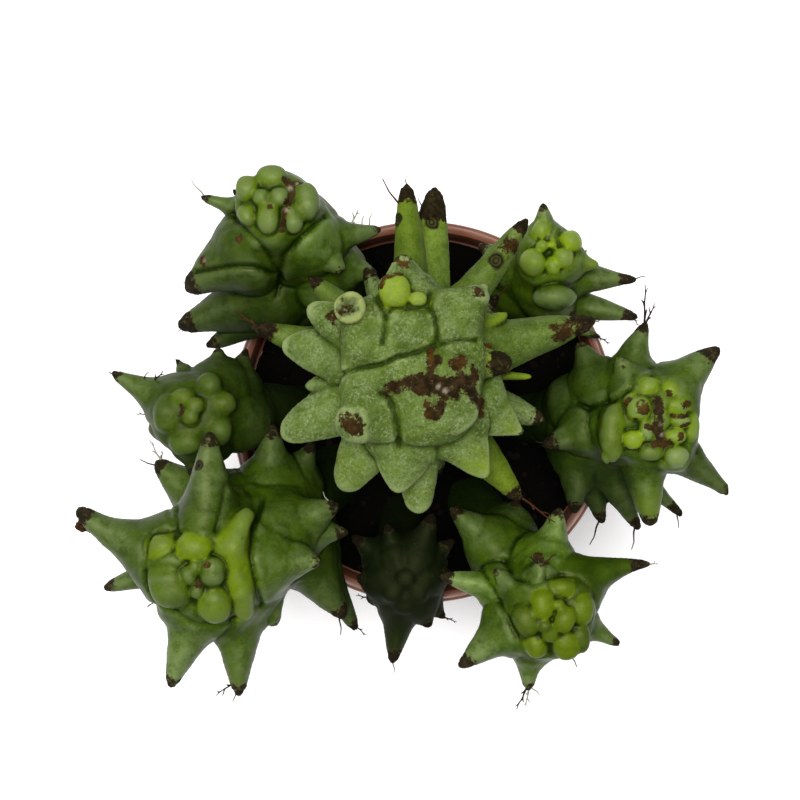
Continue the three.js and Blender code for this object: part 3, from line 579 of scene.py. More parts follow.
USUAL = {
    "slim": 1.0, "fillet": 8.5, "fillets": {}, "forms": {}, "web": 3.5, "groove": (0.5, 0.9),
    "plates": [], "bulges": [], "towers": [], "creases": [], "crease_drop": 22, "flowers": [],
    "bud_fillet": 0.19, "bud_power": 2.3, "bud_tall": 1.0, "bud_bloom_and_highlight": 1.0, "quiet": [],
    "caps": {}, "tints": {}, "powder": {}, "bloom_and_highlight": 1.0, "gain": {}, "crown_young": 0.0,
    "scars": [], "eyes": [], "seams": [], "painted_depth_shade": (152, 104), "dry": (0.3, 0.12),
}
STEMS = [{**USUAL, **stem} for stem in STEMS]
print("stems:", len(STEMS), "horns:", sum(len(stem["horns"]) for stem in STEMS))

# %% [markdown]
# Lines to grow along
# The core of a stem runs straight from its root in the soil to the middle of its domed top. A horn
# leaves that line below the crown and bows out to its tip. Both are limbs: a line, and a radius that
# changes along it. A limb can say how far any point is outside it, which is all that the later steps
# need in order to blend it with its neighbours.

# %% Lines
SOIL_LEVEL = 94
FOOT_DEPTH = 16
FAR = 50.0
LIMB_REACH = 7
BUD_REACH = 6
BOW_PLACE = 0.55
STEEP = 0.05
SMALLEST_SLOPE = 1e-3


def heading(direction):
    """The level unit vector for a direction in degrees from +X."""
    turn = math.radians(direction)
    return np.array([math.cos(turn), math.sin(turn), 0.0])


def stem_line(stem):
    """The crown of a stem, the middle of its dome and its root, in millimetres."""
    crown = np.array(stem["crown"], float)
    middle = crown - UP * stem["girth"]
    foot = np.array([*stem["foot"], SOIL_LEVEL], float)
    lean = (middle - foot) / np.linalg.norm(middle - foot)
    return crown, middle, foot - lean * FOOT_DEPTH


def horn_line(stem, horn, shares):
    """Points along a horn, from its seat on the stem's line to its tip."""
    crown, middle, root = stem_line(stem)
    direction, reach, drop, depth, _, bow = horn[:6]
    level = min(1.0, (crown[2] - depth - root[2]) / (middle[2] - root[2]))
    seat = root + (middle - root) * level
    tip = crown + heading(direction) * reach - UP * drop
    control = seat + (tip - seat) * BOW_PLACE + UP * bow
    share = np.asarray(shares, float)[:, None]
    return seat * (1 - share) ** 2 + control * (2 * share * (1 - share)) + tip * share ** 2


class Limb:
    """A tapering body along a line, such as a core or a horn. A power under 2 gives it four soft keels."""

    def __init__(self, line, radii, keel=1.0, power=2.0, turn=0.0):
        steps = line[1:] - line[:-1]
        self.start = line[:-1]
        self.end = line[-1]
        self.length = np.linalg.norm(steps, axis=1)
        self.along = steps / self.length[:, None]
        side = np.cross(self.along, UP)
        steep = np.linalg.norm(side, axis=1) < STEEP
        side[steep] = [1, 0, 0]
        self.side = side / np.linalg.norm(side, axis=1)[:, None]
        self.top = np.cross(self.side, self.along)
        self.radii = np.asarray(radii, float)
        self.keel = keel
        self.power = power
        self.cosine, self.sine = math.cos(turn), math.sin(turn)
        reach = self.radii.max() * max(keel, 1.0) + LIMB_REACH
        self.low = line.min(0) - reach
        self.high = line.max(0) + reach
        self.total = self.length.sum()
        self.passed = np.concatenate([[0], np.cumsum(self.length)])

    def measure(self, points):
        """How far points are outside the limb, and how far along it the nearest place is."""
        outside = np.full(len(points), FAR)
        passed = np.zeros(len(points))
        near = np.all((points > self.low) & (points < self.high), axis=1)
        close = points[near]
        best = np.full(len(close), FAR)
        where = np.zeros(len(close))
        for i, along in enumerate(self.along):
            away = close - self.start[i]
            share = np.clip(away @ along / self.length[i], 0, 1)
            away -= (share * self.length[i])[:, None] * along
            side, raised = away @ self.side[i], away @ self.top[i] / self.keel
            across = np.abs(side * self.cosine + raised * self.sine)
            raised = np.abs(raised * self.cosine - side * self.sine)
            beyond = np.abs(away @ along)
            radius = self.radii[i] + share * (self.radii[i + 1] - self.radii[i])
            total = across ** self.power + raised ** self.power + beyond ** self.power
            distance = total ** (1 / self.power) - radius
            closer = distance < best
            best[closer] = distance[closer]
            where[closer] = self.passed[i] + share[closer] * self.length[i]
        outside[near] = best
        passed[near] = where
        return outside, passed


class Knob:
    """A bud: a rounded bump, squarer than a ball where its power is over 2."""

    def __init__(self, middle, size, turn, power):
        self.middle = np.asarray(middle, float)
        self.size = np.asarray(size, float)
        angle = math.radians(turn)
        self.cosine, self.sine = math.cos(angle), math.sin(angle)
        self.power = power

    def measure(self, points):
        """How far points are outside the bud."""
        outside = np.full(len(points), FAR)
        near = np.all(np.abs(points - self.middle) < self.size.max() + BUD_REACH, axis=1)
        away = points[near] - self.middle
        turned = np.stack([
            away[:, 0] * self.cosine + away[:, 1] * self.sine,
            away[:, 1] * self.cosine - away[:, 0] * self.sine,
            away[:, 2],
        ], axis=1)
        shares = np.abs(turned) / self.size
        level = np.sum(shares ** self.power, axis=1) ** (1 / self.power)
        slope = np.linalg.norm(shares ** (self.power - 1) / self.size, axis=1)
        slope = slope / np.maximum(level, 1e-6) ** (self.power - 1)
        outside[near] = (level - 1) / np.maximum(slope, SMALLEST_SLOPE)
        return outside


# %% Blends, waves and lines
def blended(first, second, width):
    """The nearer of two bodies, with the crease between them filled over a width."""
    near = np.clip(width - np.abs(first - second), 0, None) / width
    return np.minimum(first, second) - near * near * width / 4


def waves(points, size, seed):
    """Soft, unordered waves of about a size in millimetres, from -1 to 1."""
    draw = np.random.RandomState(seed)
    total = np.zeros(len(points))
    for _ in range(6):
        direction = draw.normal(size=3)
        direction *= draw.uniform(0.7, 1.4) / np.linalg.norm(direction)
        total += np.sin(points @ direction * (2 * math.pi / size) + draw.uniform(0, 2 * math.pi))
    return total / 3.5


def to_line(x, y, line):
    """Level distance from places to a line with corners."""
    best = np.full(len(x), FAR)
    corners = np.array(line, float)
    for first, second in zip(corners, corners[1:]):
        step = second - first
        share = np.clip(((x - first[0]) * step[0] + (y - first[1]) * step[1]) / (step @ step), 0, 1)
        best = np.minimum(best, np.hypot(x - first[0] - share * step[0], y - first[1] - share * step[1]))
    return best


def stepped(value, low, high):
    """0 below low, 1 above high and smooth between them."""
    share = np.clip((value - low) / (high - low), 0, 1)
    return share * share * (3 - 2 * share)


# %% [markdown]
# One stem as a sum of limbs and buds
# On the plant nothing is stuck on: the skin runs from the core out over each horn in one soft curve,
# while neighbouring horns and buds only press together and leave a narrow crease. So each horn is
# blended with the core over a wide fillet, and what the horns add is then joined with hardly any.
# Modifiers alone give either melted buds or horns that look glued on, which is why the surface is
# worked out here as a formula.

# %% The formula of a stem
FOOT_SHARE = 0.66
HORN_TIP = 0.12
HORN_TAPER = 1.2
HORN_SWELL = 1.12
HORN_POWER = 1.75
HORN_KEEL = 1.15
HORN_FLARE, FLARE_PLACE, FLARE_WIDTH = 0.12, 0.05, 0.16
HORN_TURN = 0.4
SEAT_SHARE = 0.9
POINT_SHARE = 0.75
HIDDEN_SHARE = 0.8
PLUMP_LIMIT = (0.7, 3)
HORN_CROWDING = 0.8
GROOVE_FADE = 3
WEB_START = 5.0
BUD_ROUND = 0.5
BUD_SUNK = 0.3
BUD_PLUMP = 1.1
BUD_MOAT = (0.6, 0.8)
PLATE_POWER = 2.6
PLATE_FILLET = 3.0
BULGE_FILLET = 4.0
TOWER_FILLET = 2.0
BROAD_WAVE = 0.22
FINE_WAVE = 0.1
CREASE_FADE = 6
CREASE_SHARES = (0.6, 0.4)
SHARES = np.linspace(0, 1, 21)


class Growth:
    """Everything that one stem is made of, ready to be measured."""

    def __init__(self, stem):
        self.stem = stem
        self.girth = stem["girth"] * stem["slim"]
        self.crown, self.middle, self.root = stem_line(stem)
        shares = np.linspace(0, 1, 7)
        foot = self.girth * FOOT_SHARE
        radii = np.interp(shares, [0, 0.3, 1], [foot, foot * 1.05, self.girth])
        self.core = Limb(self.root + (self.middle - self.root) * shares[:, None], radii)
        draw = random.Random(stem["node"])
        self.horns = [
            self.horn(horn, stem["forms"].get(number, {}), draw.uniform(-HORN_TURN, HORN_TURN))
            for number, horn in enumerate(stem["horns"])]
        self.plates = [self.plate(*plate) for plate in stem["plates"]]
        self.buds = [self.bud(*bud) for bud in stem["buds"]]
        self.bulges = [self.plate(*bulge) for bulge in stem["bulges"]]
        self.towers = [Limb(self.crown + np.array(line), radii) for line, radii in stem["towers"]]

    def horn(self, horn, form, turn):
        """A horn: wide where it leaves the core, then tapering on a bowed and perhaps bent line."""
        width = horn[4]
        taper = form.get("taper", horn[6] if len(horn) > 6 else HORN_TAPER)
        sideways = 4 * SHARES * (1 - SHARES) * form.get("bend", 0)
        line = horn_line(self.stem, horn, SHARES) + heading(horn[0] + 90) * sideways[:, None]
        length = np.linalg.norm(line[1:] - line[:-1], axis=1).sum()
        root, tip = width / 2 * HORN_SWELL, width * form.get("tip", HORN_TIP)
        start = min(0.5, self.girth * HIDDEN_SHARE / length)
        out = np.clip((SHARES - start) / (1 - start), 0, 1)
        radii = tip + (root - tip) * (1 - out) ** taper
        radii += root * HORN_FLARE * np.exp(-((out - FLARE_PLACE) / FLARE_WIDTH) ** 2)
        radii[0] *= SEAT_SHARE
        radii[-1] *= POINT_SHARE
        plump = radii * form.get("plump", 1.0)
        limit = self.girth * (PLUMP_LIMIT[0] + PLUMP_LIMIT[1] * out)
        radii = np.where(plump < radii, plump, np.maximum(radii, np.minimum(plump, limit)))
        return Limb(line, radii, form.get("keel", HORN_KEEL), HORN_POWER, turn)

    def top_at(self, x, y):
        """The height of the core and its plates at a place."""
        heights = np.arange(self.crown[2] + 3, self.crown[2] - self.girth * 1.4, -0.2)
        column = np.stack([np.full(len(heights), x), np.full(len(heights), y), heights], axis=1)
        body = self.core.measure(column)[0]
        for plate in self.plates:
            body = np.minimum(body, plate.measure(column))
        return heights[np.argmax(body < 0)]

    def bud(self, dx, dy, across, length, turn, lift):
        """A plump bud seated on the crown."""
        off = math.hypot(dx, dy) / (self.girth * 0.95)
        height = self.top_at(self.crown[0] + dx / max(off, 1), self.crown[1] + dy / max(off, 1))
        thick = min(across, length) * BUD_ROUND
        middle = np.array([self.crown[0] + dx, self.crown[1] + dy, height + lift - thick * BUD_SUNK])
        half = np.array([across, length]) / 2 * BUD_PLUMP
        return Knob(middle, (*half, thick * self.stem["bud_tall"]), turn, self.stem["bud_power"])

    def plate(self, dx, dy, across, length, turn, height, thick):
        """A flat-topped part of the crown, with its top a height below the crown."""
        middle = self.crown + [dx, dy, height - thick]
        return Knob(middle, (across / 2, length / 2, thick), turn, PLATE_POWER)

    def with_horns(self, body, points):
        """A body with its horns: each flows out of it, and a groove stays where two of them meet."""
        depth, width = self.stem["groove"]
        web = self.stem["web"]
        raised = np.zeros(len(body))
        groove = np.zeros(len(body))
        for number, horn in enumerate(self.horns):
            fillet = self.stem["fillets"].get(number, self.stem["fillet"])
            rise = body - blended(body, horn.measure(points)[0], fillet)
            both = np.clip(np.minimum(raised, rise) * HORN_CROWDING, 0, 1)
            weaker = groove * np.exp(-((rise - raised) / GROOVE_FADE) ** 2)
            groove = np.where(rise > raised, weaker, groove)
            groove = np.maximum(groove, both * np.exp(-((raised - rise) / width) ** 2))
            near = np.clip(web - np.abs(raised - rise), 0, None) / web
            away = np.clip(body / WEB_START, 0, 1)
            raised = np.maximum(raised, rise) + both * away * near * near * web / 4
        return body - raised + groove * depth

    def with_buds(self, body, points):
        """A body with its buds, each in a narrow moat."""
        depth, width = BUD_MOAT
        outside = [bud.measure(points) for bud in self.buds]
        for away in outside:
            body = body + depth * np.exp(-(np.maximum(away, 0) / width) ** 2)
        for bud, away in zip(self.buds, outside):
            body = blended(body, away, self.stem["bud_fillet"] * 2 * bud.size[:2].min())
        return body

    def outside(self, points):
        """How far points in millimetres are outside the stem's skin."""
        body = self.with_horns(self.core.measure(points)[0], points)
        for plate in self.plates:
            body = blended(body, plate.measure(points), PLATE_FILLET)
        for bulge in self.bulges:
            body = blended(body, bulge.measure(points), BULGE_FILLET)
        for tower in self.towers:
            body = blended(body, tower.measure(points)[0], TOWER_FILLET)
        body = self.with_buds(body, points)
        body -= BROAD_WAVE * waves(points, 15.0, 3) + FINE_WAVE * waves(points, 5.5, 4)
        x, y = points[:, 0] - self.crown[0], points[:, 1] - self.crown[1]
        above = points[:, 2] - self.crown[2] + self.stem["crease_drop"]
        upper = np.clip(above / CREASE_FADE, 0, 1)
        sharp, soft = CREASE_SHARES
        for line, depth, width, shoulder in self.stem["creases"]:
            away = to_line(x, y, line)
            cut = sharp * np.exp(-(away / width) ** 2) + soft * np.exp(-(away / shoulder) ** 2)
            body += upper * depth * cut
        return body


# %% [markdown]
# From clay to skin
# The bodies are first put up roughly, as a hand would with clay: a ball is added once, and each limb and
# bud is a copy of it, stretched along its own line. A voxel remesh melts the pile into one closed skin.
# Then the skin is settled: each point moves along its normal until the formula says that it is there.

# %% Rough clay
bpy.ops.mesh.primitive_uv_sphere_add(segments=12, ring_count=12, radius=1)
clay_ball = bpy.context.active_object
BALL = read(clay_ball.data.vertices, "co").astype(float)
BALL_SHARE = 0.5 + 0.5 * BALL[:, 2]
BALL_ACROSS = np.linalg.norm(BALL[:, :2], axis=1)
BALL_ROUND = BALL[:, :2] / np.maximum(BALL_ACROSS, 1e-6)[:, None]
print("clay ball:", len(BALL), "points")


def clay(points):
    """A copy of the clay ball with its points at places in millimetres."""
    mesh = clay_ball.data.copy()
    put_points(mesh, points)
    return placed("clay", mesh)


def limb_clay(limb):
    """The clay ball drawn out along a limb."""
    line = np.vstack([limb.start, limb.end])
    place = BALL_SHARE * (len(line) - 1)
    index = np.minimum(place.astype(int), len(limb.along) - 1)
    part = (place - index)[:, None]
    middle = line[index] * (1 - part) + line[index + 1] * part
    radius = np.interp(place, np.arange(len(line)), limb.radii) * np.clip(BALL_ACROSS * 2.5, 0, 1)
    across = limb.side[index] * BALL_ROUND[:, :1] + limb.top[index] * BALL_ROUND[:, 1:] * limb.keel
    return clay(middle + across * radius[:, None])


def bud_clay(bud):
    """The clay ball flattened to a bud."""
    size = BALL * bud.size
    x = size[:, 0] * bud.cosine - size[:, 1] * bud.sine
    y = size[:, 0] * bud.sine + size[:, 1] * bud.cosine
    return clay(np.stack([x, y, size[:, 2]], axis=1) + bud.middle)


# %% Settling
FARTHEST_MOVE = 1.5
MOVE_SHARE = 0.9
SLIDE_SHARE = 0.6


def normals_of(mesh):
    return read(mesh.vertex_normals, "vector").astype(float)


def edges_of(mesh):
    return read(mesh.edges, "vertices", np.int32, 2)


def neighbour_mean(values, edges):
    """The mean of each point's neighbours."""
    count = len(values)
    degree = np.bincount(edges.ravel(), minlength=count)
    columns = values.reshape(count, -1)
    means = np.empty_like(columns, dtype=float)
    for i, column in enumerate(columns.T):
        total = np.bincount(edges[:, 0], column[edges[:, 1]], count)
        total += np.bincount(edges[:, 1], column[edges[:, 0]], count)
        means[:, i] = total / np.maximum(degree, 1)
    return means.reshape(values.shape)


def settle(skin, growth, rounds):
    """Moves a skin's points along their normals onto the formula, and keeps them evenly spread."""
    mesh = skin.data
    edges = edges_of(mesh)
    for _ in range(rounds):
        points = points_of(mesh)
        normals = normals_of(mesh)
        away = np.clip(growth.outside(points), -FARTHEST_MOVE, FARTHEST_MOVE)
        points -= normals * away[:, None] * MOVE_SHARE
        slide = neighbour_mean(points, edges) - points
        slide -= normals * np.sum(slide * normals, axis=1)[:, None]
        put_points(mesh, points + slide * SLIDE_SHARE)


# %% [markdown]
# Growing the stems
# Each stem is melted twice: once coarsely, so that its points can slide far enough to fill the fillets,
# and once finely, so that the faces of the finished skin are even. The tall stem is nearest the camera
# and gets the finest faces.

# %% Grow
FINE = {"main_stem": 0.62}
USUAL_FINE = 0.72
COARSE = 1.1


def melt(skin, voxel):
    """Melts what overlaps into one closed skin with even faces of a size in millimetres."""
    modify(skin, "REMESH", mode="VOXEL", voxel_size=voxel * MM)


def grow(stem):
    """The finished skin of one stem and the growth that it followed."""
    growth = Growth(stem)
    pile = [limb_clay(limb) for limb in (growth.core, *growth.horns)]
    pile += [bud_clay(bud) for bud in growth.buds + growth.plates]
    skin = joined(pile, stem["node"] + "_skin")
    melt(skin, COARSE)
    settle(skin, growth, 3)
    melt(skin, FINE.get(stem["node"], USUAL_FINE))
    settle(skin, growth, 2)
    select_only(skin)
    bpy.ops.object.shade_smooth()
    skin.data.materials.clear()
    return skin, growth


skins = {}
for stem in STEMS:
    skin, growth = grow(stem)
    skins[stem["node"]] = (skin, growth)
    print(skin.name, "faces:", len(skin.data.polygons))
bpy.data.objects.remove(clay_ball)

# %% [markdown]
# Marks of age, light and shade
# Most of what makes the plant look lived in sits in known places: a brown corky cap on each horn, round
# scars where flowers dropped off, yellow-green young growth on the buds. So the marks are measured on
# the same limbs and buds as the form, and stored on the skin as plain numbers that the finishes read.
# Beside them are stored masks for painted shade in creases, hollows and low places, for the painted
# highlight on ridges and upward faces, and a painted light and shade factor for each horn and bud.

# %% Where the scars are
SCAR_LOOKS = {"open": (0.5, 0.5, 0.8), "cork": (1.1, 0.35, 0.1), "rust": (1.1, 1, 0), "dot": (1, 0.5, 0),
              "dimple": (0.35, 0.3, 0.3)}
SCAR_DEPTHS = {"ring": (0.16, 0.2), "open": (0.22, 1.2), "cream": (0.1, 0), "cork": (0.05, 0.1),
               "rust": (0.03, 0.03), "dot": (0.05, 0.2), "dimple": (0.03, 0.12)}


def scar_places(growth):
    """The middle of every round scar in millimetres, with its radius and kind."""
    places = []
    for dx, dy, radius, kind in growth.stem["scars"]:
        x, y = growth.crown[0] + dx, growth.crown[1] + dy
        heights = np.arange(growth.crown[2] + 8, growth.crown[2] - 25, -0.2)
        column = np.stack([np.full(len(heights), x), np.full(len(heights), y), heights], axis=1)
        inside = growth.outside(column) < 0
        places.append((column[np.argmax(inside)], radius, kind))
    for number, share, around, radius, kind in growth.stem["eyes"]:
        limb = growth.horns[number]
        place = share * (len(limb.along) - 1e-6)
        index = int(place)
        turn = math.radians(around)
        out = limb.side[index] * math.sin(turn) + limb.top[index] * math.cos(turn) * limb.keel
        middle = limb.start[index] + limb.along[index] * limb.length[index] * (place - index)
        places.append((middle + out * limb.radii[index], radius, kind))
    return places


# %% Marks, one kind after the other
USUAL_CAP = (1.6, 4.2)
USUAL_TINT = (0, 0.25)
CAP_FADE = 2.6
ON_HORN = 1.2
NO_SCAR = 3.0
FINE_ROUNDS, BROAD_ROUNDS = 3, 60
EVENING_ROUNDS = {"tone": 12, "powder": 8, "gain": 10}
SCAR_WAVE = 0.22
PALE_WIDTH = 0.2
WALL_PLACE, WALL_WIDTH, PIT_SHADE_SHARE = 0.62, 0.16, 0.6
OUTER_LIGHT = 0.55
FADES = {
    "far": (0.3, 0.75), "tip": (0.45, 0.95), "bud": (0.1, 0.9), "tower": (0.3, 2.2), "crown": (9, 16),
    "painted_cleft_shade": (0.02, 0.16), "edge": (0.045, 0.13), "hollow": (-0.1, 1.1), "ridge": (0.1, 1.5),
    "outer": (62, 88), "corky": (0.4, 0.6),
}


def faded(values, name):
    """0 to 1 over the range that a fade has in the list, smooth between."""
    return stepped(values, *FADES[name])


def fringed(away):
    """1 on a corky place and fading round it. Its own edge is at a distance of 1."""
    return np.clip(1.15 - away * 0.65, 0, 1)


def more(marks, name, values):
    """Raises a mark where new values are higher."""
    marks[name] = np.maximum(marks[name], values)


def mark_horns(marks, growth, points):
    """The cap, tone, young tip, powder and painted light and shade factor of each horn, on the skin nearest
    to it.
    """
    stem = growth.stem
    draw = random.Random(stem["node"] + " marks")
    nearest = np.full(len(points), FAR)
    for number, limb in enumerate(growth.horns):
        outside, passed = limb.measure(points)
        cap = stem["caps"].get(number, draw.uniform(*USUAL_CAP))
        tone, tint = draw.uniform(-1, 1), stem["tints"].get(number, draw.uniform(*USUAL_TINT))
        on_horn = outside < ON_HORN
        closer = on_horn & (outside < nearest)
        nearest[closer] = outside[closer]
        share = passed / limb.total
        marks["tone"][closer] = tone
        # A painted light and shade factor for the horn.
        marks["gain"][closer] = stem["gain"].get(number, stem["gain"].get("all", 1.0))
        marks["powder"][closer] = stem["powder"].get(number, 1.0)
        marks["far"] = np.where(closer, faded(share, "far"), marks["far"])
        marks["young"] = np.where(closer, tint * faded(share, "tip"), marks["young"])
        if cap > 0:
            more(marks, "cork", on_horn * np.clip(0.5 + (cap - (limb.total - passed)) / CAP_FADE, 0, 1))


def mark_crown(marks, growth, points):
    """Young growth, powder and painted light and shade factor of buds and crown, and the corky seams between
    them.
    """
    stem = growth.stem
    bud_looks = {"powder": stem["bud_bloom_and_highlight"], "gain": stem["gain"].get("buds", stem["gain"].get("all", 1.0))}
    for number, bud in enumerate(growth.buds):
        nearness = 1 - faded(bud.measure(points), "bud")
        more(marks, "young", nearness * stem["bud_tints"][number])
        for name, value in bud_looks.items():
            if number not in stem["quiet"]:
                marks[name] = marks[name] * (1 - nearness) + nearness * value
    for tower in growth.towers:
        nearness = 1 - faded(tower.measure(points)[0], "tower")
        more(marks, "young", nearness * stem["bud_tints"].get("tower", 0))
    x, y = points[:, 0] - growth.crown[0], points[:, 1] - growth.crown[1]
    upper = stepped(points[:, 2], growth.crown[2] - 18, growth.crown[2] - 12)
    more(marks, "young", stem["crown_young"] * upper * (1 - faded(np.hypot(x, y), "crown")))
    for line, width, rust in stem["seams"]:
        on_seam = upper * fringed(to_line(x, y, line) / width)
        more(marks, "cork", on_seam)
        more(marks, "rust", on_seam * rust)


def mark_scars(marks, growth, points):
    """Round scars with a ragged edge."""
    uneven = 1 + SCAR_WAVE * waves(points, 3.6, 15)
    for middle, radius, kind in growth.scar_places:
        away = np.linalg.norm(points - middle, axis=1) * uneven
        if kind == "cream":
            more(marks, "cream", np.clip(1.5 - away / radius, 0, 1))
        elif kind == "ring":
            marks["scar"] = np.minimum(marks["scar"], away / radius)
        else:
            corky, rust, pale = SCAR_LOOKS[kind]
            on_scar = fringed(away / (radius * corky))
            more(marks, "cork", on_scar)
            more(marks, "rust", on_scar * rust)
            more(marks, "pale", np.exp(-((away - radius) / (PALE_WIDTH * radius)) ** 2) * pale)
            if kind == "open":
                # Painted shade on the inner wall of an open scar's pit.
                pit_shade = np.exp(-((away - WALL_PLACE * radius) / (WALL_WIDTH * radius)) ** 2)
                more(marks, "walls", pit_shade * PIT_SHADE_SHARE)


def marks_of(mesh, growth):
    """All marks of a skin, each a number for every point."""
    points, normals, edges = points_of(mesh), normals_of(mesh), edges_of(mesh)
    names = ("cork", "rust", "young", "pale", "walls", "far", "cream", "tone")
    marks = {name: np.zeros(len(points)) for name in names}
    starts = {"powder": growth.stem["bloom_and_highlight"], "gain": growth.stem["gain"].get("all", 1.0), "scar": NO_SCAR}
    marks |= {name: np.full(len(points), start) for name, start in starts.items()}
    for mark in (mark_horns, mark_crown, mark_scars):
        mark(marks, growth, points)

    def smoothed(values, rounds):
        for _ in range(rounds):
            values = neighbour_mean(values, edges)
        return values

    for name, rounds in EVENING_ROUNDS.items():
        marks[name] = smoothed(marks[name], rounds)
    # Painted shade: fine creases and broad hollows are darkened where shade falls. Fine bulges feed the pale
    # edges, and broad ridges feed the bloom.
    fine = smoothed(np.sum((smoothed(points, FINE_ROUNDS) - points) * normals, axis=1), 2)
    broad = smoothed(np.sum((smoothed(points, BROAD_ROUNDS) - points) * normals, axis=1), 8)
    for name, curve in (("painted_cleft_shade", fine), ("edge", -fine), ("hollow", broad), ("ridge", -broad)):
        marks[name] = faded(curve, name)
    # How much the skin faces up, which the painted highlight in the bloom follows.
    marks["up"] = smoothed(normals[:, 2], 2)
    # Painted shade: the skin is made darker lower down and towards the middle of the pot, where the stems
    # shade each other.
    shade_top, shade_low = growth.stem["painted_depth_shade"]
    outer = faded(np.hypot(points[:, 0], points[:, 1]), "outer")
    marks["painted_depth_shade"] = stepped(-points[:, 2], -shade_top, -shade_low) * (1 - OUTER_LIGHT * outer)
    return marks


# %% Press the marks in
BOX_MARGIN = 0.05
RIM_WIDTH = 0.28
PIT_WIDTH = 0.62
PRESS_LIMIT = 3
CORK_WAVE, CORK_SUNK = 0.14, 0.08
BOX_LOW = np.array(cad_box[0]) / MM + BOX_MARGIN
BOX_HIGH = np.array(cad_box[1]) / MM - BOX_MARGIN


def press_marks(mesh, growth, cork):
    """Presses round scars into the skin and makes corky places rough."""
    points, normals = points_of(mesh), normals_of(mesh)
    for middle, radius, kind in growth.scar_places:
        away = np.linalg.norm(points - middle, axis=1) / radius
        rim, pit = SCAR_DEPTHS[kind]
        height = rim * np.exp(-((away - 1) / RIM_WIDTH) ** 2) - pit * np.exp(-(away / PIT_WIDTH) ** 4)
        points += normals * (height * min(radius, PRESS_LIMIT))[:, None]
    corky = faded(cork, "corky")
    points += normals * (corky * (CORK_WAVE * waves(points, 1.1, 21) - CORK_SUNK))[:, None]
    put_points(mesh, np.clip(points, BOX_LOW, BOX_HIGH))


for skin, growth in skins.values():
    growth.scar_places = scar_places(growth)
    marks = marks_of(skin.data, growth)
    press_marks(skin.data, growth, marks["cork"])
    for name, values in marks.items():
        store(skin.data, name, values)
    print(skin.name, "scars:", len(growth.scar_places), "corky:", round(float(marks["cork"].mean()), 3))

# %% [markdown]
# Two living skins
# The tall stem carries a pale scurf of fine specks over grey-green skin. The lower stems have the same
# skin with little of it, so they are greener and shinier, with a faint pale bloom. The bloom is painted
# stronger on ridges and on the faces turned up to the light, as a painted highlight, and the tall stem's
# pale rims are partly a painted highlight too. Both skins are painted darker in creases, hollows and low
# down, as painted shade. Both go yellow-green where they are young and brown and rough where they are
# corky.

# %% Colours of age
DARK_CORK = (0.004, 0.002, 0.0014)
PALE_CORK = (0.024, 0.012, 0.007)
WORN_CORK = (0.045, 0.02, 0.007)
CORK_FRINGE = (0.035, 0.028, 0.01)
CREAM_CORK = (0.15, 0.11, 0.07)
CREAM = (0.22, 0.18, 0.13)
RUST = (0.075, 0.03, 0.004)
PALE_RING = (0.24, 0.26, 0.07)
PAINTED_PIT_SHADE = (0.006, 0.005, 0.002)
SCAR = (0.017, 0.011, 0.004)
SCAR_TURNS = (0.003, 0.002, 0.0015)
SPECK = (0.03, 0.022, 0.01)
SPECULAR_TINT = (1.0, 1.0, 0.5, 1.0)
GLOW_DEPTH = 0.0015


def living_colour(finish, look, young):
    """The green of a skin with its powder, bloom and painted highlight, painted shade and painted light
    factor, without its cork.
    """
    mark, noise, clean = finish.mark, finish.noise, (1.0 - young * 0.6) * finish.mark("powder")
    # The pale waxy bloom is painted stronger on upward faces, on ridges and towards the tips, so it is partly
    # a painted highlight.
    bloom_and_highlight = (mark("up") * look["painted_highlight_up"] + mark("ridge") * 0.5 + mark("far") * 0.4).step(0.1, 0.95)
    bloom_and_highlight = bloom_and_highlight * (noise(0.0035, 6, 0.7).step(0.38, 0.6) * 0.8 + 0.2)
    scurf = noise(0.0009, 3, 0.75).step(0.47, 0.62) * noise(0.0045, 3, 0.6).step(0.3, 0.6)
    pores = noise(0.0006, 2, 0.6).step(0.5, 0.66) * (1.0 - young * 0.8)
    # The whole colour is scaled by a factor for each horn and bud that is painted light and shade.
    return finish.scaled(finish.layered(
        finish.mix(noise(0.006, 5, 0.65).step(0.36, 0.62), look["dark"], look["light"]),
        ((mark("tone") * 0.5 + 0.5) * 0.4, look["light"]),
        (young, look["young"]),
        (bloom_and_highlight * clean * look["bloom_and_highlight"], look["bloom_and_highlight_colour"]),
        (scurf * clean * look["scurf"], look["scurf_colour"]),
        (pores * look["pores"], look["dark"]),
        # Pale rims on convex edges: partly the skin's own pale rims and partly a painted highlight.
        (mark("edge") * look["edge"] * (1.0 - young) * mark("powder"), look["pale_rim_and_highlight_colour"]),
        (mark("pale") * noise(0.001, 3, 0.7).step(0.3, 0.6), PALE_RING),
        # Painted shade in broad hollows and in fine creases.
        (mark("hollow") * 0.85, look["hollow"]),
        (mark("painted_cleft_shade") * 0.9, look["painted_cleft_shade"]),
        # Painted shade low down and towards the middle of the pot.
        (mark("painted_depth_shade") * 0.93, look["painted_depth_shade"]),
    ), mark("gain"))


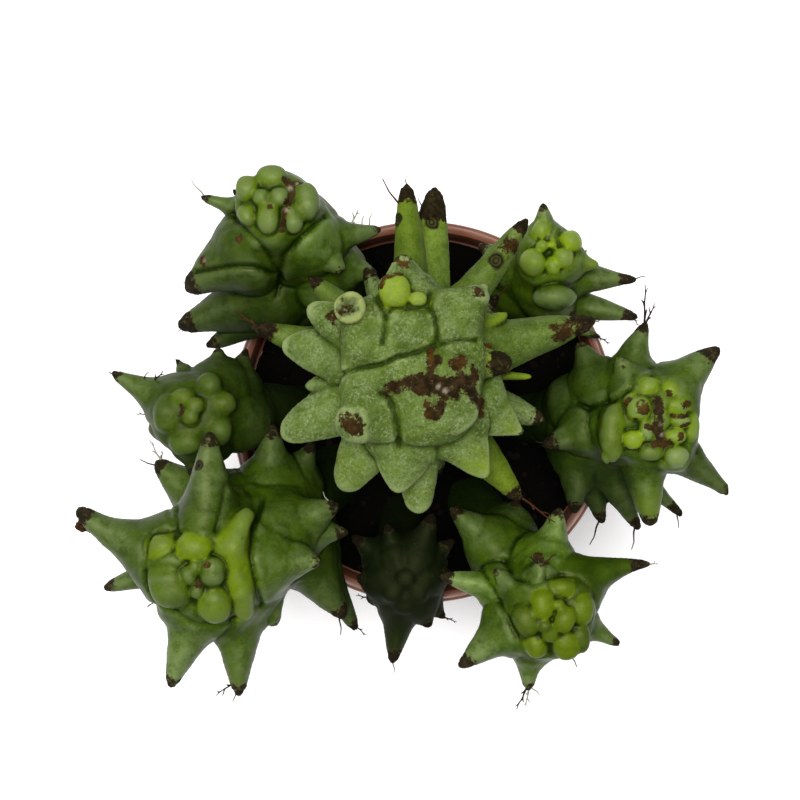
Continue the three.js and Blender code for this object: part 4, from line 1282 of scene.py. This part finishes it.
def skin_finish(name, look):
    """A living skin from its colours and shares."""
    finish = Finish(
        name, Subsurface_Weight=0.06, Subsurface_Radius=(0.7, 1.0, 0.25), Subsurface_Scale=GLOW_DEPTH,
        Specular_IOR_Level=look["specular"], Specular_Tint=SPECULAR_TINT)
    mark, noise = finish.mark, finish.noise
    young = mark("young").step(0.02, 0.98) * (noise(0.003, 4, 0.6).step(0.3, 0.6) * 0.3 + 0.7)
    grain = noise(0.0022, 5, 0.7)
    tatter = noise(0.0032, 4, 0.7).step(0.3, 0.7) * 0.9 + noise(0.0012, 3, 0.7).step(0.3, 0.7) * 0.5
    ragged = mark("cork") + (tatter - 0.7) * mark("cork").step(0.02, 0.3)
    cork = ragged.step(0.3, 0.62)
    # The cork is made darker low down by the same painted shade.
    cork_colour = finish.scaled(finish.layered(
        finish.mix(grain.step(0.42, 0.68), DARK_CORK, PALE_CORK),
        ((1.0 - ragged.step(0.35, 0.8)) * 0.5, WORN_CORK),
        (noise(0.0014, 3, 0.7).step(0.62, 0.74) * 0.45, CREAM_CORK),
        (mark("rust") * (grain.step(0.3, 0.6) * 0.6 + 0.4), RUST),
    ), 1.0 - mark("painted_depth_shade") * 0.7)
    scar = mark("scar") + (grain - 0.5) * 0.3
    disc = 1.0 - scar.step(0.9, 1.2)
    colour = finish.layered(
        living_colour(finish, look, young),
        (ragged.step(0.05, 0.5) * 0.6, CORK_FRINGE),
        (disc * 0.85, SCAR),
        (disc * (scar * 16.0).math("COSINE").step(-0.5, 0.6) * 0.9, SCAR_TURNS),
        # Painted shade inside an open scar's pit.
        (mark("walls"), PAINTED_PIT_SHADE),
        (cork * 0.95, cork_colour),
        (mark("cream") * grain.step(0.35, 0.55), CREAM),
        (noise(0.0016, 1, 0.5).step(0.77, 0.8) * 0.6 * (1.0 - cork) * (1.0 - young), SPECK),
    )
    fleck = noise(0.0009, 3, 0.75).step(0.47, 0.62)
    rough = cork * 0.35 + (fleck * look["scurf"] * 0.2 + mark("painted_depth_shade") * 0.25 + look["roughness"])
    finish.give(Base_Color=colour, Roughness=rough)
    fine = noise(0.0006, 2) * 0.25 + noise(0.0025, 3) * 0.75
    finish.bump(fine + cork * grain * 3.0, 0.0004, 0.5)
    return finish.material


# %% Skin
# In each look the colours for hollows, creases and low places are painted shade. The bloom and pale edge
# colours are partly a painted highlight.
LOOKS = {
    "powdery_skin": {
        "roughness": 0.6, "specular": 0.09, "scurf": 0.55, "pores": 0.5, "bloom_and_highlight": 0.8, "painted_highlight_up": 0.5,
        "edge": 0.5, "dark": (0.026, 0.05, 0.002), "light": (0.062, 0.1, 0.008),
        "young": (0.17, 0.24, 0.006), "bloom_and_highlight_colour": (0.11, 0.155, 0.05), "scurf_colour": (0.2, 0.24, 0.12),
        "pale_rim_and_highlight_colour": (0.24, 0.3, 0.12), "hollow": (0.035, 0.06, 0.003), "painted_cleft_shade": (0.008, 0.018, 0.001),
        "painted_depth_shade": (0.004, 0.012, 0.0005),
    },
    "green_skin": {
        "roughness": 0.42, "specular": 0.15, "scurf": 0.2, "pores": 0.15, "bloom_and_highlight": 0.7, "painted_highlight_up": 0.2,
        "edge": 0.35, "dark": (0.013, 0.031, 0.0003), "light": (0.034, 0.064, 0.001),
        "young": (0.12, 0.18, 0.002), "bloom_and_highlight_colour": (0.085, 0.122, 0.036),
        "scurf_colour": (0.09, 0.12, 0.04), "pale_rim_and_highlight_colour": (0.12, 0.16, 0.06),
        "hollow": (0.018, 0.04, 0.0005), "painted_cleft_shade": (0.003, 0.01, 0.0003), "painted_depth_shade": (0.001, 0.006, 0.0003),
    },
}
finishes = {name: skin_finish(name, look) for name, look in LOOKS.items()}
slots = {node: "powdery_skin" if node == "main_stem" else "green_skin" for node in skins}
for node, (skin, growth) in skins.items():
    skin.data.materials.append(finishes[slots[node]])
print("skins:", slots)

# %% [markdown]
# Dry flower stalks
# Each horn has flowered, and the flower stalks stay on as stiff brown threads with a few stubs of side
# twigs. Three twigs are modelled as bare lines with the skin modifier, which gives them their thickness.
# Every stalk is a copy of one of them, turned and stretched to its place in the growth table.

# %% Three twigs
TWIG_LINES = {
    "bare": ([(0, 0, 0), (0.03, 0, 0.35), (-0.02, 0.03, 0.7), (0.03, 0.02, 1)], [(0, 1), (1, 2), (2, 3)]),
    "stubby": (
        [(0, 0, 0), (0.02, 0, 0.3), (-0.01, 0, 0.55), (0.03, 0, 0.8), (0.0, 0, 1), (0.11, 0, 0.42),
         (-0.12, 0.03, 0.66), (0.1, -0.03, 0.92)],
        [(0, 1), (1, 2), (2, 3), (3, 4), (1, 5), (2, 6), (3, 7)],
    ),
    "forked": (
        [(0, 0, 0), (-0.02, 0, 0.4), (0.02, 0, 0.62), (0.04, 0, 0.84), (0.02, 0, 1), (-0.08, 0.02, 0.74),
         (-0.1, 0.02, 0.82), (0.09, 0, 0.48), (0.14, 0, 0.9)],
        [(0, 1), (1, 2), (2, 3), (3, 4), (2, 5), (5, 6), (1, 7), (3, 8)],
    ),
}
TWIG_CHOICE = ["bare", "bare", "stubby", "forked"]
TWIG_LENGTH = 10.0
STALK_RADIUS = 0.42
TWIG_TAPER = 0.62
SIDE_TWIG, SIDE_SHARE = 0.09, 0.6


def twig(name):
    """A twig of ten millimetres along Z, with each millimetre as one unit."""
    points, edges = TWIG_LINES[name]
    mesh = bpy.data.meshes.new("twig_" + name)
    mesh.from_pydata([Vector(point) * TWIG_LENGTH for point in points], edges, [])
    made = placed("twig_" + name, mesh)
    bpy.context.view_layer.objects.active = made
    made.modifiers.new("thickness", "SKIN")
    for point, thick in zip(points, mesh.skin_vertices[0].data):
        radius = STALK_RADIUS * (1 - TWIG_TAPER * point[2]) * (SIDE_SHARE if abs(point[0]) > SIDE_TWIG else 1)
        thick.radius = (radius, radius)
    mesh.skin_vertices[0].data[0].use_root = True
    bpy.ops.object.modifier_apply(modifier="thickness")
    modify(made, "SUBSURF", levels=1)
    return made


twigs = {name: twig(name) for name in TWIG_LINES}
print("twig faces:", {name: len(made.data.polygons) for name, made in twigs.items()})

# %% Every stalk
FLOWER_BALLS = 9
FLOWER_REACH, BALL_SIZE, SHRUNK = 0.62, 0.4, 0.3
GOLDEN_TURN = 2.4
MARKED = 0.8


def tinted(mesh, red, grey):
    store(mesh, "red", red)
    store(mesh, "grey", grey)


def stalk_at(stem, stalk, draw, kind):
    """A copy of a twig at its place on a horn."""
    number, share, direction, rise, length = stalk
    base = horn_line(stem, stem["horns"][number], [share])[0]
    lift = math.radians(rise)
    ahead = heading(direction) * math.cos(lift) + UP * math.sin(lift)
    side = np.cross(ahead, UP)
    side /= np.linalg.norm(side)
    top = np.cross(side, ahead)
    turn = draw.uniform(-0.7, 0.7)
    first = side * math.cos(turn) + top * math.sin(turn)
    second = np.cross(ahead, first)
    mesh = twigs[kind].data.copy()
    x, y, z = np.split(read(mesh.vertices, "co").astype(float), 3, axis=1)
    long = length / TWIG_LENGTH
    wide = min(1.0, 0.5 + 0.5 * long)
    places = base + x * wide * first + y * wide * second + z * long * ahead
    put_points(mesh, np.clip(places, BOX_LOW, BOX_HIGH))
    red, grey = [float(draw.random() < chance) * MARKED for chance in stem["dry"]]
    tinted(mesh, red, grey)
    return placed("stalk", mesh)


def flower_at(stem, flower, draw):
    """A dried flower head: a cluster of small shrunken balls where the table has one."""
    number, *away, radius = flower
    middle = horn_line(stem, stem["horns"][number], [1.0])[0] + away
    made = []
    for i in range(FLOWER_BALLS):
        bpy.ops.mesh.primitive_ico_sphere_add(subdivisions=3, radius=1)
        ball = bpy.context.active_object
        rise = 1 - 2 * (i + 0.5) / FLOWER_BALLS
        turn = i * GOLDEN_TURN + draw.uniform(-0.3, 0.3)
        level = math.sqrt(1 - rise * rise)
        out = np.array([math.cos(turn) * level, math.sin(turn) * level, rise])
        shape = points_of(ball.data) * MM
        shape *= 1 + SHRUNK * waves(shape + out * 9, 1.2, i)[:, None]
        places = middle + out * radius * FLOWER_REACH + shape * radius * BALL_SIZE
        put_points(ball.data, np.clip(places, BOX_LOW, BOX_HIGH))
        tinted(ball.data, 0.55, 0.0)
        made.append(ball)
    return made


dry = Finish("dry_stalk", Roughness=0.85, Specular_IOR_Level=0.1)
dry.give(Base_Color=dry.layered(
    dry.mix(dry.noise(0.002, 3).step(0.35, 0.7), (0.006, 0.004, 0.003), (0.025, 0.014, 0.009)),
    (dry.mark("red"), (0.045, 0.014, 0.004)),
    (dry.mark("grey"), (0.28, 0.28, 0.22)),
))
stalk_pieces = {}
for stem in STEMS:
    draw = random.Random(stem["node"] + " stalks")
    made = [stalk_at(stem, stalk, draw, draw.choice(TWIG_CHOICE)) for stalk in stem["stalks"]]
    for flower in stem["flowers"]:
        made += flower_at(stem, flower, draw)
    piece = joined(made, stem["node"] + "_stalks")
    bpy.ops.object.shade_smooth()
    piece.data.materials.append(dry.material)
    stalk_pieces[stem["node"]] = piece
    print(piece.name, "faces:", len(piece.data.polygons))
for made in twigs.values():
    bpy.data.objects.remove(made)

# %% [markdown]
# The pot
# The nursery pot is one thin moulded shell: a tapered wall, a wider collar, a rolled lip and a floor
# with drain holes. Its section is drawn as a line and turned round the axis with the screw modifier,
# and the holes are cut with one boolean.

# %% The pot
RIM_RADIUS = 65
BASE_RADIUS = 46
WALL = 1.5
POT_FLOOR = 2
LIP = 3
COLLAR = 93
COLLAR_RADIUS = 59
POT_STEPS = 120
MERGE = 0.00001
DRAINS = 6
DRAIN_START = 0.43
DRAIN_CIRCLE = 35
DRAIN_RADIUS = 3.5
INNER_LIP = RIM_RADIUS - LIP


def wall_radius(z):
    """The radius of the tapered wall at a height."""
    return BASE_RADIUS + (COLLAR_RADIUS - BASE_RADIUS) * z / COLLAR


def turned(name, section):
    """A body of revolution from a section of radius and height in millimetres."""
    mesh = bpy.data.meshes.new(name)
    corners = [(radius * MM, 0, z * MM) for radius, z in section]
    mesh.from_pydata(corners, [(i, i + 1) for i in range(len(corners) - 1)], [])
    made = placed(name, mesh)
    modify(
        made, "SCREW", steps=POT_STEPS, render_steps=POT_STEPS, use_merge_vertices=True,
        merge_threshold=MERGE)
    select_only(made)
    bpy.ops.object.mode_set(mode="EDIT")
    bpy.ops.mesh.select_all(action="SELECT")
    bpy.ops.mesh.remove_doubles(threshold=MERGE)
    bpy.ops.mesh.normals_make_consistent(inside=False)
    bpy.ops.object.mode_set(mode="OBJECT")
    return made


pot = turned("pot_shell", [
    (0, 0.6), (30, 0.6), (40, 0), (BASE_RADIUS - 1, 0), (BASE_RADIUS, 1), (wall_radius(30), 30),
    (wall_radius(60), 60), (COLLAR_RADIUS - 0.4, COLLAR - 1.5), (COLLAR_RADIUS, COLLAR),
    (INNER_LIP - 1, COLLAR + 0.4), (INNER_LIP, COLLAR + 1.2), (INNER_LIP + 0.3, 99.5),
    (RIM_RADIUS - 0.7, 100.4), (RIM_RADIUS - 0.1, 101.4), (RIM_RADIUS - 0.1, 103.4),
    (RIM_RADIUS - 0.5, 104.4), (RIM_RADIUS - 1.4, 104.95), (INNER_LIP + 0.4, 104.8),
    (INNER_LIP - 0.6, 104.0), (INNER_LIP - WALL + 0.2, 101), (INNER_LIP - WALL, COLLAR + 0.5),
    (wall_radius(COLLAR) - WALL, COLLAR - 1), (wall_radius(60) - WALL, 60), (wall_radius(30) - WALL, 30),
    (wall_radius(POT_FLOOR) - WALL, POT_FLOOR), (30, POT_FLOOR), (0, POT_FLOOR),
])
holes = []
for i in range(DRAINS):
    turn = (i + DRAIN_START) / DRAINS * 2 * math.pi
    place = (DRAIN_CIRCLE * MM * math.cos(turn), DRAIN_CIRCLE * MM * math.sin(turn), 1 * MM)
    bpy.ops.mesh.primitive_cylinder_add(vertices=32, radius=DRAIN_RADIUS * MM, depth=6 * MM, location=place)
    holes.append(bpy.context.active_object)
drill = joined(holes[::-1], "drill")
modify(pot, "BOOLEAN", operation="DIFFERENCE", solver="EXACT", object=drill)
bpy.data.objects.remove(drill)
select_only(pot)
bpy.ops.object.shade_smooth_by_angle(angle=math.radians(35))

plastic = Finish("pot_plastic")
dusty = plastic.noise(0.02, 4, 0.6).step(0.4, 0.75)
pot_colour = plastic.layered(
    plastic.mix(plastic.noise(0.03, 2), (0.13, 0.04, 0.018), (0.17, 0.058, 0.028)),
    (dusty * 0.35, (0.24, 0.15, 0.1)))
plastic.give(Base_Color=pot_colour, Roughness=dusty * 0.3 + 0.38)
plastic.bump(plastic.noise(0.0012, 2), 0.0001, 0.4)
pot.data.materials.append(plastic.material)
print("pot faces:", len(pot.data.polygons))

# %% [markdown]
# The potting mix
# A dark, coarse mix of fine bark and grit, coloured near black, darker than the mix itself, as painted
# shade between the stems. The heap is turned like the pot and its top is roughened. Four crumbs are
# modelled, and hundreds of small copies of them are scattered over the heap.

# %% The heap
SOIL_GAP = 0.35
HEAP_EDGE = INNER_LIP - WALL - SOIL_GAP
HEAP_START = 91.8
HEAP_RINGS = 46
HEAP_WAVE = 0.35


def heap_height(x, y):
    """How high the heap's top is at places, in millimetres."""
    slow = 0.7 * np.sin(x / 5.1 + 1) * np.sin(y / 4.3) + 0.6 * np.sin((x + y) / 3.3) * np.cos(y / 7.7)
    return SOIL_LEVEL + slow


soil_floor = POT_FLOOR + SOIL_GAP
section = [(0, soil_floor), (wall_radius(POT_FLOOR) - WALL - SOIL_GAP, soil_floor)]
section += [(wall_radius(HEAP_START) - WALL - SOIL_GAP, HEAP_START), (HEAP_EDGE - 0.3, COLLAR)]
section += [(HEAP_EDGE * share, SOIL_LEVEL) for share in np.linspace(0.995, 0, HEAP_RINGS)]
soil = turned("soil_heap", section)
points = points_of(soil.data)
top = points[:, 2] > SOIL_LEVEL - 0.5
rough_top = HEAP_WAVE * waves(points[top] * [1, 1, 0], 2.4, 31)
points[top, 2] = heap_height(points[top, 0], points[top, 1]) + rough_top
put_points(soil.data, points)

# %% Crumbs
CRUMBS = 900
CRUMB_SHAPES = [(1, 0.7, 0.5), (1, 0.9, 0.8), (1, 0.5, 0.3), (1, 0.8, 0.7)]
CRUMB_CHOICE = [0, 0, 1, 2, 2, 3]
CRUMB_SIZE = (0.5, 1.5)
CRUMB_WAVE = 0.22
BIG_CHANCE, BIG_SHARE = 0.12, 1.6
CRUMB_REACH = HEAP_EDGE * 0.975

crumbs = []
for kind, stretch in enumerate(CRUMB_SHAPES):
    bpy.ops.mesh.primitive_ico_sphere_add(subdivisions=2, radius=1)
    crumb = bpy.context.active_object
    shape = points_of(crumb.data) * MM * stretch
    shape *= 1 + CRUMB_WAVE * waves(shape, 1.3, 40 + kind)[:, None]
    crumbs.append((crumb, shape))
draw = random.Random(7)
scattered = []
for _ in range(CRUMBS):
    reach = CRUMB_REACH * math.sqrt(draw.random())
    turn = draw.uniform(0, 2 * math.pi)
    x, y = reach * math.cos(turn), reach * math.sin(turn)
    crumb, shape = crumbs[draw.choice(CRUMB_CHOICE)]
    size = draw.uniform(*CRUMB_SIZE) * (BIG_SHARE if draw.random() < BIG_CHANCE else 1)
    size = min(size, (HEAP_EDGE - reach) * 0.9)
    spin, tip = draw.uniform(0, 6.3), draw.uniform(-0.5, 0.5)
    across = np.array([math.cos(spin) * math.cos(tip), math.sin(spin) * math.cos(tip), math.sin(tip)])
    second = np.array([-math.sin(spin), math.cos(spin), 0])
    third = np.cross(across, second)
    middle = np.array([x, y, heap_height(x, y) + size * 0.25])
    mesh = crumb.data.copy()
    put_points(mesh, middle + size * (shape[:, :1] * across + shape[:, 1:2] * second + shape[:, 2:] * third))
    store(mesh, "shade", draw.random() ** 3)
    scattered.append(placed("crumb", mesh))
grit = joined(scattered, "soil_crumbs")
for crumb, shape in crumbs:
    bpy.data.objects.remove(crumb)

# The mix is coloured near black, darker than the mix itself, as painted shade between the stems.
mix = Finish("potting_mix", Roughness=0.95, Specular_IOR_Level=0.05)
mix.give(Base_Color=mix.layered(
    mix.mix(mix.noise(0.002, 4, 0.7), (0.0004, 0.0003, 0.0002), (0.002, 0.0016, 0.001)),
    (mix.mark("shade"), (0.007, 0.0045, 0.0035))))
mix.bump(mix.noise(0.0015, 5, 0.75), 0.001, 0.9)
for made in (soil, grit):
    made.data.materials.append(mix.material)
print("heap faces:", len(soil.data.polygons), "crumb faces:", len(grit.data.polygons))

# %% [markdown]
# Pieces on the body
# Every piece rides on the one body and stands for its solid, whose part from the frame is hidden.

# %% Ride
pieces = [(pot, "pot", "pot_plastic"), (soil, "soil", "potting_mix"), (grit, "soil", "potting_mix")]
for node, (skin, growth) in skins.items():
    pieces += [(skin, node, slots[node]), (stalk_pieces[node], node, slots[node])]
for piece, node, slot in pieces:
    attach(piece, "root")
    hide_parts(node)
